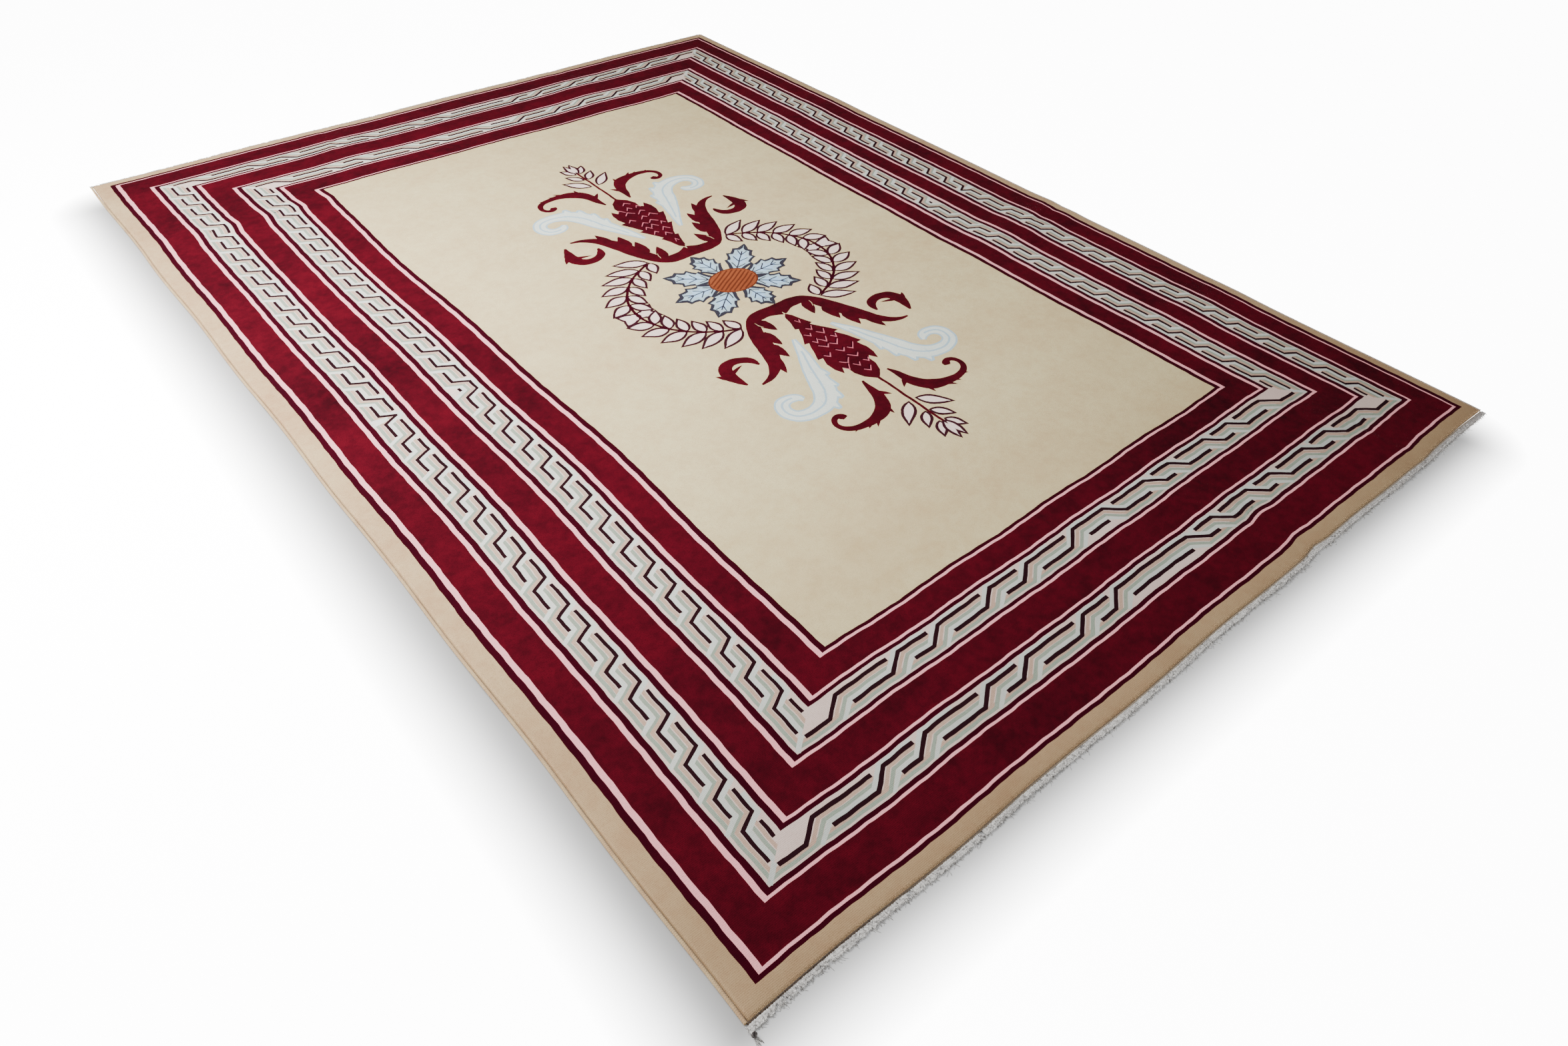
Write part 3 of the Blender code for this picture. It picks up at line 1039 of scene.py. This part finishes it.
def covered(x, y, outline):
    """Which points an outline winds round. The points are in order of y."""
    turns = np.zeros(len(x), int)
    for (x0, y0), (x1, y1) in zip(outline, outline[1:] + outline[:1]):
        if y0 == y1:
            continue
        level = slice(*np.searchsorted(y, sorted((y0, y1))))
        crossing = x0 + (y[level] - y0) * (x1 - x0) / (y1 - y0)
        turns[level] += np.where(crossing < x[level], 1 if y1 > y0 else -1, 0)
    return turns != 0


def topmost_wools(centres, painting):
    """The wool of the topmost outline over each point, or none outside the pile."""
    order = np.argsort(centres[:, 1])
    x, y = centres[order].T
    wools = np.full(len(centres), "", dtype="U8")
    for wool, outline in painting.outlines:
        wools[order[covered(x, y, outline)]] = wool
    return wools


def cut(painting):
    """The painting as triangles: their points, their corners and the wool of each."""
    points, edges = [], []
    for _, outline in painting.outlines:
        numbers = list(range(len(points), len(points) + len(outline)))
        edges += zip(numbers, numbers[1:] + numbers[:1])
        points += outline
    points += grid_points()
    found = delaunay_2d_cdt([Vector(point) for point in points], edges, [], 0, 1e-6, False)
    flat = np.array([tuple(point) for point in found[0]])
    corners = np.array(found[2])
    return flat, corners, topmost_wools(flat[corners].mean(axis=1), painting)


def add_mesh(name, points, faces, material, smooth=True):
    mesh = bpy.data.meshes.new(name)
    mesh.from_pydata(np.asarray(points).tolist(), [], [list(map(int, face)) for face in faces])
    mesh.validate()
    if smooth:
        mesh.shade_smooth()
    mesh.materials.append(material)
    piece = bpy.data.objects.new(name, mesh)
    bpy.context.scene.collection.objects.link(piece)
    return piece


def make_pile(painting):
    """One piece for each wool of the pile."""
    flat, corners, wools = cut(painting)
    x, y = flat[:, 0], flat[:, 1]
    points = lie(x, y, pile_height(x, y))
    pieces = []
    for wool in WOOLS:
        own = corners[wools == wool]
        used, faces = np.unique(own, return_inverse=True)
        material = make_pile_material("wool_" + wool, WOOLS[wool])
        pieces.append(add_mesh("pile_" + wool, points[used], faces.reshape(-1, 3), material))
    return pieces


def slab(name, grid_x, grid_y, bottom, top, material):
    """A closed slab over a lattice laid out flat, with the heights of its bottom and its top."""
    x, y = grid_x.ravel(), grid_y.ravel()
    points = np.concatenate((lie(x, y, bottom.ravel()), lie(x, y, top.ravel())))
    layer = grid_x.size
    index = np.arange(layer).reshape(grid_x.shape)
    a, b = index[:-1, :-1].ravel(), index[1:, :-1].ravel()
    c, d = index[1:, 1:].ravel(), index[:-1, 1:].ravel()
    faces = [np.stack((d, c, b, a), 1), np.stack((a, b, c, d), 1) + layer]
    rim = np.concatenate((index[:, 0], index[-1, 1:], index[-2::-1, -1], index[0, -2:0:-1]))
    ahead = np.roll(rim, -1)
    faces.append(np.stack((rim, ahead, ahead + layer, rim + layer), 1))
    return add_mesh(name, points, np.concatenate(faces), material)


def make_foundation():
    """The woven back, just inside and under the pile."""
    reach_x = PILE_HALF_WIDTH - FOUNDATION_INSET
    reach_y = HALF_LENGTH - FOUNDATION_INSET
    xs = np.linspace(-reach_x, reach_x, FOUNDATION_COLUMNS)
    ys = np.linspace(-reach_y, reach_y, FOUNDATION_ROWS)
    grid_x, grid_y = np.meshgrid(xs, ys, indexing="ij")
    flat = grid_x * 0
    material = make_weave_material("rug_back", srgb(196, 182, 154), srgb(166, 146, 118), BACK_PITCH)
    return slab("rug_foundation", grid_x, grid_y, flat, flat + FOUNDATION_TOP, material)


# ---- edges, ends and fringe


def tube(name, centres, radii, material, sides):
    """A closed tube round a row of centres that runs along X or along Y."""
    angles = np.arange(sides) * 2 * np.pi / sides
    along = np.abs(centres[-1] - centres[0])
    ring = np.stack((np.cos(angles), np.zeros(sides), np.sin(angles)), 1)
    if along[0] > along[1]:
        ring = np.stack((ring[:, 1], -ring[:, 0], ring[:, 2]), 1)
    points = (centres[:, None, :] + ring[None] * radii[:, None, None]).reshape(-1, 3)
    start = (np.arange(len(centres) - 1) * sides)[:, None]
    here = np.arange(sides)[None]
    ahead = (here + 1) % sides
    quads = np.stack((start + here, start + here + sides, start + ahead + sides, start + ahead), -1)
    faces = quads.reshape(-1, 4).tolist()
    faces.append(list(range(sides)))
    faces.append(list(range(len(points) - sides, len(points)))[::-1])
    return add_mesh(name, points, faces, material)


def wrapped(length, pitch, radius, seed):
    """Places along a wrapped cord and its radius at each, with a ridge for each turn."""
    count = 2 * round(length / pitch) + 1
    chance = np.random.default_rng(seed)
    ridges = np.where(np.arange(count) % 2, 1.0, WRAP_FURROW)
    radii = radius * ridges * (1 + chance.uniform(-WRAP_UNEVEN, 0.0, count))
    return np.linspace(-length / 2, length / 2, count), radii


def make_selvedge(name, side, material):
    """A long edge overcast with wool."""
    radius = SELVEDGE_DIAMETER / 2
    y, radii = wrapped(RUG_LENGTH, OVERCAST_PITCH, radius, OVERCAST_SEED + side)
    x = np.full(len(y), side * (HALF_WIDTH - radius))
    return tube(name, lie(x, y, radii), radii, material, sides=10)


def make_twining(name, end, material):
    """The row of dark twining between an end of the pile and its flat weave. Its dark wool is partly real
    twining and partly painted shade along the end of the pile, darkest near the left corner.
    """
    radius = TWINING_DIAMETER / 2
    x, radii = wrapped(RUG_WIDTH - TWINING_SHORTER, TWINING_PITCH, radius, TWINING_SEED + end)
    y = np.full(len(x), end * (HALF_LENGTH + radius))
    return tube(name, lie(x, y, radii + TWINING_RISE), radii, material, sides=6)


def strip_reach(chance):
    """How far out the flat weave reaches at each warp: ragged, with small gaps."""
    ragged = chance.normal(0, STRIP_RAGGED, STRIP_COLUMNS)
    ragged = ragged + STRIP_WAVE * np.sin(np.arange(STRIP_COLUMNS) * STRIP_WAVE_TURN)
    reach = STRIP_DEPTH - STRIP_SLACK + np.clip(ragged, -STRIP_MOST_SHORT, STRIP_SLACK)
    anywhere = chance.integers(0, STRIP_COLUMNS, STRIP_GAPS)
    at_left = chance.integers(0, STRIP_COLUMNS // 4, STRIP_GAPS_AT_LEFT)
    for start in np.concatenate((anywhere, at_left)):
        reach[start : start + chance.integers(*STRIP_GAP_WIDTH)] -= chance.uniform(*STRIP_GAP_DEPTH)
    return reach


def make_strip(name, end, material):
    """A flat-woven end, with the small ups and downs of its weave."""
    chance = np.random.default_rng(STRIP_SEED + end)
    inner = HALF_LENGTH + TWINING_DIAMETER - STRIP_UNDER_TWINING
    outer = HALF_LENGTH + strip_reach(chance)
    shares = np.linspace(0, 1, STRIP_ROWS)[::end]
    grid_y = end * (inner + (outer - inner)[:, None] * shares[None])
    xs = np.linspace(-HALF_WIDTH, HALF_WIDTH, STRIP_COLUMNS)
    grid_x = np.repeat(xs[:, None], STRIP_ROWS, axis=1)
    odd = np.add.outer(np.arange(STRIP_COLUMNS), np.arange(STRIP_ROWS)) % 2
    over_under = STRIP_RELIEF * np.where(odd, 1, -1)
    loose = chance.normal(0, STRIP_LOOSE, grid_x.shape)
    top = STRIP_THICKNESS - STRIP_MEAN_DROP + over_under + loose
    return slab(name, grid_x, grid_y, grid_x * 0, top, material)


def strand_points(root_x, end, chance):
    """The bent centre line of one loose warp end, in the flat layout."""
    length = min(STRAND_SHORTEST + chance.expovariate(1 / STRAND_USUAL), STRAND_LONGEST)
    lean = chance.gauss(0, STRAND_LEAN)
    bend = chance.gauss(0, STRAND_BEND)
    start_y = HALF_LENGTH + STRIP_DEPTH - STRAND_ROOT
    # More of them lie over the strip towards the left
    if chance.random() < 0.50 - 0.30 * root_x / HALF_WIDTH:
        start_y -= chance.uniform(0, STRAND_OVER_STRIP)
        length += STRAND_LONGER_OVER_STRIP
    points = []
    for share in STRAND_PLACES:
        x = root_x + length * share * (lean + bend * share)
        points.append((x, end * (start_y + STRAND_REACH_OUT * share + length * share)))
    return points


def tuft_points(number, chance):
    """A strand of the knotted tuft at the near left corner: root, knot, middle and tip."""
    root_x = chance.uniform(0.001, 0.010) - HALF_WIDTH
    root_y = -(HALF_LENGTH + STRIP_DEPTH - 0.004)
    knot_x = TUFT_KNOT_X + chance.uniform(-0.001, 0.001)
    spread = TUFT_SPREAD * (number % TUFT_LOCKS - (TUFT_LOCKS - 1) / 2)
    length = chance.uniform(0.7, 1.0) * CORNER_TUFT_LENGTH
    return [
        (root_x, root_y),
        (knot_x, root_y - 0.009),
        (knot_x + 0.6 * spread, root_y - 0.5 * length - 0.004),
        (knot_x + spread, root_y - length),
    ]


def warp_place(number, chance):
    """Where a warp end starts along X, drawn into uneven clusters."""
    x = (number + chance.uniform(0.1, 0.9)) / STRANDS_PER_END * RUG_WIDTH - HALF_WIDTH
    x += 0.0025 * math.sin(x * 310) + 0.003 * math.sin(x * 97)
    return min(max(x, 0.001 - HALF_WIDTH), HALF_WIDTH - 0.001)


def make_fringe(name, end, material):
    """The loose warp ends: short tapering strands in uneven clusters, lying on the floor."""
    chance = random.Random(FRINGE_SEED + end)
    lines = []
    for number in range(STRANDS_PER_END):
        points = strand_points(warp_place(number, chance), end, chance)
        lines.append((points, chance.uniform(*STRAND_RADII)))
    if end < 0:
        lines += [(tuft_points(number, chance), TUFT_RADIUS) for number in range(TUFT_STRANDS)]
    flat, faces = [], []
    for line, radius in lines:
        faces += strand_faces(len(flat), len(line), end)
        flat += strand_rings(line, radius, chance.uniform(0, STRAND_RISE))
    x, y, z = np.array(flat).T
    return add_mesh(name, lie(x, y, z), faces, material)


def ground_height(y):
    """The height of what a warp end lies on: its flat weave, then the floor."""
    share = (HALF_LENGTH + STRIP_DEPTH - STRAND_STEP / 2 - abs(y)) / STRAND_STEP
    return (STRIP_THICKNESS - STRAND_SUNK) * min(max(share, 0.0), 1.0)


def strand_rings(line, radius, rise):
    """Rings round a strand, which starts a little up in the weave and comes down to the floor."""
    points = []
    for index, ((x, y), taper) in enumerate(zip(line, STRAND_TAPER)):
        height = radius * taper + max(rise * (1 - index / 3), ground_height(y))
        for corner in range(STRAND_SIDES):
            angle = 2 * math.pi * corner / STRAND_SIDES + QUARTER_TURN
            dz = radius * taper * math.sin(angle)
            points.append((x + radius * taper * math.cos(angle), y, max(height + dz, 0.0)))
    return points


def strand_faces(first, sections, end):
    """The faces of one strand, turned so that they look outwards at either end of the rug."""
    faces = []
    for section in range(sections - 1):
        here = first + section * STRAND_SIDES
        for corner in range(STRAND_SIDES):
            ahead = (corner + 1) % STRAND_SIDES
            start, stop = here + corner, here + ahead
            faces.append([start, stop, stop + STRAND_SIDES, start + STRAND_SIDES][::-end])
    last = first + (sections - 1) * STRAND_SIDES
    faces.append([first + corner for corner in range(STRAND_SIDES)][::end])
    faces.append([last + corner for corner in range(STRAND_SIDES)][::-end])
    return faces


def make_knot(name, material):
    """The knot of the corner tuft: a short barrel with rounded ends."""
    place = np.linspace(-1, 1, 9)
    y = -(HALF_LENGTH + STRIP_DEPTH + 0.004) + KNOT_HALF_LENGTH * place
    radii = KNOT_RADIUS * np.sqrt(np.clip(1 - 0.93 * place**2, 0.02, 1))
    x = np.full(len(place), TUFT_KNOT_X)
    return tube(name, lie(x, y, np.full(len(place), KNOT_RADIUS)), radii, material, sides=8)


# ---- materials

SPECULAR = 0.03
SHEEN_ROUGHNESS = 0.45
# How dark the painted shade between the yarns, in a weave's furrows and on its specks is against the
# deeper tone
SHADOW_SHARE = 0.55
FURROW_SHARE = 0.45
SPECK_SHARE = 0.3


def feed(tree, socket, value):
    """Gives a socket a constant, or links it to the output of another node."""
    if isinstance(value, bpy.types.NodeSocket):
        tree.links.new(value, socket)
    else:
        socket.default_value = (*value, 1.0) if socket.type == "RGBA" else value


def add_node(tree, kind, output, inputs, **settings):
    """The output of a new node with some settings and inputs."""
    node = tree.nodes.new("ShaderNode" + kind)
    for name, value in settings.items():
        setattr(node, name, value)
    for name, value in inputs.items():
        feed(tree, node.inputs[name], value)
    return node.outputs[output]


def new_material(name, roughness, sheen, sheen_tint):
    material = bpy.data.materials.new(name)
    material.use_nodes = True
    tree = material.node_tree
    shader = tree.nodes["Principled BSDF"]
    feed(tree, shader.inputs["Roughness"], roughness)
    feed(tree, shader.inputs["Specular IOR Level"], SPECULAR)
    feed(tree, shader.inputs["Sheen Weight"], sheen)
    feed(tree, shader.inputs["Sheen Roughness"], SHEEN_ROUGHNESS)
    feed(tree, shader.inputs["Sheen Tint"], sheen_tint)
    return material, tree, shader


def coordinates(tree):
    return tree.nodes.new("ShaderNodeTexCoord").outputs["Object"]


def across_rug(tree, axis, low, high, most):
    """A value that goes from 0 at one place along X or Y to most at another."""
    place = add_node(tree, "SeparateXYZ", axis, {"Vector": coordinates(tree)})
    return ranged(tree, place, low, high, 0.0, most)


def add_noise(tree, scale, detail, stretch=(1, 1, 1), roughness=0.5):
    """A noise over the object's own coordinates, as a value from 0 to 1."""
    place = add_node(tree, "Mapping", "Vector", {"Vector": coordinates(tree), "Scale": stretch})
    inputs = {"Vector": place, "Scale": scale, "Detail": detail, "Roughness": roughness}
    return add_node(tree, "TexNoise", "Fac", inputs)


def add_waves(tree, direction, pitch):
    """Even ridges across one axis of the object."""
    scale = math.pi / (10 * pitch)
    inputs = {"Vector": coordinates(tree), "Scale": scale, "Distortion": 1.2, "Detail": 1.0}
    return add_node(tree, "TexWave", "Fac", inputs, bands_direction=direction)


def ranged(tree, value, low, high, to_low=0.0, to_high=1.0):
    """A value between low and high moved to between to_low and to_high, and held there."""
    inputs = {"Value": value, "From Min": low, "From Max": high, "To Min": to_low, "To Max": to_high}
    return add_node(tree, "MapRange", "Result", inputs)


def patches(tree, scale, detail, low, high, most=1.0, stretch=(1, 1, 1)):
    """Soft patches, from 0 where a noise is low to most where it is high."""
    return ranged(tree, add_noise(tree, scale, detail, stretch), low, high, 0.0, most)


def combined(tree, operation, first, second):
    return add_node(tree, "Math", "Value", {0: first, 1: second}, operation=operation)


def product(tree, first, second):
    return combined(tree, "MULTIPLY", first, second)


def total(tree, first, second):
    return combined(tree, "ADD", first, second)


def mixed(tree, share, first, second):
    """Two colours mixed. Either is a colour or the output of another node."""
    node = tree.nodes.new("ShaderNodeMix")
    node.data_type = "RGBA"
    colours = [socket for socket in node.inputs if socket.type == "RGBA"]
    for socket, value in zip((node.inputs["Factor"], *colours), (share, first, second)):
        feed(tree, socket, value)
    return [socket for socket in node.outputs if socket.type == "RGBA"][0]


def darkened(colour, share):
    return tuple(value * share for value in colour)


def finish_surface(tree, shader, colour, height, strength, distance):
    """Gives a surface its colour and its fine relief."""
    inputs = {"Height": height, "Strength": strength, "Distance": distance}
    feed(tree, shader.inputs["Base Color"], colour)
    feed(tree, shader.inputs["Normal"], add_node(tree, "Bump", "Normal", inputs))


def add_painted_shade(tree):
    """Painted shade, from 0 to 1: more towards the near end, some along the right side, unevenly."""
    near = across_rug(tree, "Y", -0.80, -1.80, 0.55)
    right = across_rug(tree, "X", 0.30, 1.30, 0.25)
    uneven = ranged(tree, add_noise(tree, 4, 3), 0.30, 0.70, 0.75, 1.10)
    return product(tree, total(tree, near, right), uneven)


def make_pile_material(name, wool):
    """Clipped wool: bands of uneven dye across the rug, soft mottling, painted shade towards the near end
    and the right side, and the ends of the yarn with painted shade between them.
    """
    colour, deep = srgb(*wool.colour), srgb(*wool.deep)
    material, tree, shader = new_material(name, 0.95, 0.05, colour)
    dye = patches(tree, 1.1, 3, 0.38, 0.66, stretch=(0.6, 2.6, 1))
    soft = patches(tree, 13, 4, 0.35, 0.70)
    fine = patches(tree, 52, 3, 0.36, 0.68)
    yarn = add_noise(tree, 420, 3, roughness=0.65)
    broad = total(tree, product(tree, dye, 0.45), product(tree, soft, 0.35))
    share = total(tree, broad, product(tree, fine, 0.30))
    shadow = darkened(deep, SHADOW_SHARE)
    base = mixed(tree, product(tree, share, wool.mottle), colour, deep)
    # Painted shade towards the near end and the right side, darkening each wool by its share
    base = mixed(tree, product(tree, add_painted_shade(tree), wool.soil), base, shadow)
    # Painted shade between the yarn ends, where the yarn's relief is low
    base = mixed(tree, ranged(tree, yarn, 0.30, 0.52, 0.45, 0.0), base, shadow)
    knots = total(tree, add_waves(tree, "X", PILE_PITCH), add_waves(tree, "Y", PILE_PITCH))
    height = total(tree, product(tree, knots, 0.25), yarn)
    finish_surface(tree, shader, base, height, 0.45, 0.0016)
    return material


def make_weave_material(name, colour, deep, pitch, furrow_share=0.55, speck_share=0.0):
    """A flat weave or wrapped yarn: ridges at the yarn's pitch with painted shade in the furrows, dark
    specks of painted shade and grey painted shade towards the right.
    """
    material, tree, shader = new_material(name, 0.9, 0.08, colour)
    ridges = product(tree, add_waves(tree, "X", pitch), add_waves(tree, "Y", pitch))
    stain = patches(tree, 22, 4, 0.35, 0.70, most=0.7)
    # Dark specks of painted shade
    specks = patches(tree, 130, 2, 0.52, 0.68, most=speck_share)
    base = mixed(tree, specks, mixed(tree, stain, colour, deep), darkened(deep, SPECK_SHARE))
    # Grey painted shade towards the right side
    base = mixed(tree, across_rug(tree, "X", 0.20, 1.28, 0.75), base, PAINTED_SHADE_GREY)
    # Painted shade in the furrows between the ridges
    furrow = ranged(tree, ridges, 0.0, 0.35, furrow_share, 0.0)
    base = mixed(tree, furrow, base, darkened(deep, FURROW_SHARE))
    height = total(tree, ridges, product(tree, add_noise(tree, 500, 2), 0.6))
    finish_surface(tree, shader, base, height, 0.5, 0.0010)
    return material


def make_yarn_material(name, colour, deep, lighter_tone=None):
    """Loose yarn, uneven in colour from strand to strand, and lighter away from the left corner."""
    material, tree, shader = new_material(name, 0.85, 0.15, colour)
    tone = mixed(tree, patches(tree, 240, 3, 0.35, 0.68), colour, deep)
    if lighter_tone:
        tone = mixed(tree, across_rug(tree, "X", -1.05, -0.35, 1.0), tone, lighter_tone)
    finish_surface(tree, shader, tone, add_noise(tree, 900, 2), 0.4, 0.0005)
    return material


# ---- floor, light and camera

FLOOR_REACH = 20
FLOOR_GLOW = 12.0
FLOOR_GLOW_POWER = 2.2
FLOOR_GREY = (0.93, 0.93, 0.93)
# The floor's painted shadow beside the rug: its grey, its glow, its width, how far inside the rug's edges
# it starts, and its shift
FLOOR_SHADE_GREY = (0.32, 0.32, 0.32)
FLOOR_SHADE_GLOW = 0.15
FLOOR_SHADE_WIDTH = 0.180
FLOOR_SHADE_INSET = 0.090
FLOOR_SHADE_SHIFT = (-0.085, -0.095, 0)
WHITE = (1.0, 1.0, 1.0)
WORLD_STRENGTH = 0.62
WINDOW_PLACE = (-1.6, 0.6, 2.0)
WINDOW_TARGET = (-0.9, 0.4, 0)
WINDOW_SIZE = (1.8, 1.8)
WINDOW_POWER = 205
WINDOW_COLOUR = (1.0, 0.99, 0.97)


def vector_math(tree, operation, first, second=(0, 0, 0)):
    output = "Value" if operation == "LENGTH" else "Vector"
    return add_node(tree, "VectorMath", output, {0: first, 1: second}, operation=operation)


def clear_of_painted_shadow(tree):
    """A value that climbs from 0 in the painted shadow beside the rug to 1 where the floor is bright."""
    centred = vector_math(tree, "SUBTRACT", coordinates(tree), FLOOR_SHADE_SHIFT)
    corner = vector_math(tree, "ABSOLUTE", centred)
    reach = (HALF_WIDTH - FLOOR_SHADE_INSET, HALF_LENGTH - FLOOR_SHADE_INSET, 1)
    beyond = vector_math(tree, "SUBTRACT", corner, reach)
    distance = vector_math(tree, "LENGTH", vector_math(tree, "MAXIMUM", beyond))
    return ranged(tree, distance, 0.0, FLOOR_SHADE_WIDTH)


def make_floor():
    """A pale, softly glowing studio floor, with a painted shadow that dims its colour and glow close
    beside the rug.
    """
    material, tree, shader = new_material("pale_floor", 0.75, 0.0, WHITE)
    bright = clear_of_painted_shadow(tree)
    # Glow and colour both drop in the painted shadow beside the rug
    glow = product(tree, combined(tree, "POWER", bright, FLOOR_GLOW_POWER), FLOOR_GLOW)
    feed(tree, shader.inputs["Base Color"], mixed(tree, bright, FLOOR_SHADE_GREY, FLOOR_GREY))
    feed(tree, shader.inputs["Emission Strength"], total(tree, glow, FLOOR_SHADE_GLOW))
    feed(tree, shader.inputs["Emission Color"], WHITE)
    corners = [(x, y, 0) for x, y in rectangle(-FLOOR_REACH, FLOOR_REACH, -FLOOR_REACH, FLOOR_REACH)]
    floor = add_mesh("floor", corners, [[0, 1, 2, 3]], material, smooth=False)


def add_area_light(name, location, target, size, power, colour):
    light = bpy.data.lights.new(name, "AREA")
    light.shape = "RECTANGLE"
    light.size, light.size_y = size
    light.energy = power
    light.color = colour
    lamp = bpy.data.objects.new(name, light)
    lamp.location = location
    lamp.rotation_euler = (Vector(target) - Vector(location)).to_track_quat("-Z", "Y").to_euler()
    bpy.context.scene.collection.objects.link(lamp)


def make_lights():
    """A dim pale surround, and a broad window light over the far left side."""
    world = bpy.data.worlds.new("studio")
    bpy.context.scene.world = world
    world.use_nodes = True
    background = world.node_tree.nodes["Background"]
    background.inputs["Color"].default_value = (*WHITE, 1.0)
    background.inputs["Strength"].default_value = WORLD_STRENGTH
    add_area_light("window", WINDOW_PLACE, WINDOW_TARGET, WINDOW_SIZE, WINDOW_POWER, WINDOW_COLOUR)


# The camera: where it stands, which way it looks and which way is up in its picture
CAMERA_PLACE = (-1.711, -2.355, 1.741)
CAMERA_FORWARD = (0.478, 0.549, -0.6855)
CAMERA_UP = (0.424, 0.539, 0.728)
SENSOR_WIDTH = 36.0
FOCAL_LENGTH = 24.43


def make_camera():
    backward = -Vector(CAMERA_FORWARD).normalized()
    right = Vector(CAMERA_UP).cross(backward).normalized()
    up = backward.cross(right)
    data = bpy.data.cameras.new("camera")
    data.sensor_width = SENSOR_WIDTH
    data.lens = FOCAL_LENGTH
    camera = bpy.data.objects.new("camera", data)
    turn = Matrix((right, up, backward)).transposed().to_4x4()
    camera.matrix_world = Matrix.Translation(CAMERA_PLACE) @ turn
    bpy.context.scene.collection.objects.link(camera)
    bpy.context.scene.camera = camera


# ---- the rug


def make_end(name, end, weave, twine, yarn):
    """One end's flat weave, which comes first, its twining and its loose warps."""
    return [
        make_strip("end_weave_" + name, end, weave),
        make_twining("twining_" + name, end, twine),
        make_fringe("warp_ends_" + name, end, yarn),
    ]


def make_ends():
    """The near end with its corner tuft, and the far end."""
    cotton = srgb(226, 224, 220)
    weave = make_weave_material("end_weave", cotton, srgb(160, 156, 154), END_PITCH, 0.35, 0.85)
    yarn = make_yarn_material("warp_yarn", cotton, srgb(120, 116, 114))
    # Twining wool: dark, partly painted shade along the pile's ends, turning lighter away from the left
    # corner
    twine = make_yarn_material("twining_wool", srgb(104, 86, 72), srgb(56, 46, 40), srgb(168, 150, 128))
    knot = make_yarn_material("knot_yarn", srgb(92, 88, 86), srgb(40, 36, 36))
    near = make_end("near", -1, weave, twine, yarn) + [make_knot("tuft_knot", knot)]
    return near, make_end("far", 1, weave, twine, yarn)


def make_rug():
    foundation = make_foundation()
    pile = make_pile(paint_pattern())
    tan, brown = srgb(184, 160, 123), srgb(164, 130, 100)
    edge_wool = make_weave_material("edge_wool", tan, brown, OVERCAST_PITCH, furrow_share=0.10)
    selvedges = [
        make_selvedge("overcast_left", -1, edge_wool),
        make_selvedge("overcast_right", 1, edge_wool),
    ]
    near, far = make_ends()
    for piece in [foundation, *pile, *selvedges, *near, *far]:
        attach(piece, "root")
    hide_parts("rug_body")
    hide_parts("selvedge_left")
    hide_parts("selvedge_right")
    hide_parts("fringe_near")
    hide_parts("fringe_far")


def main():
    make_camera()
    make_lights()
    make_floor()
    make_rug()


main()
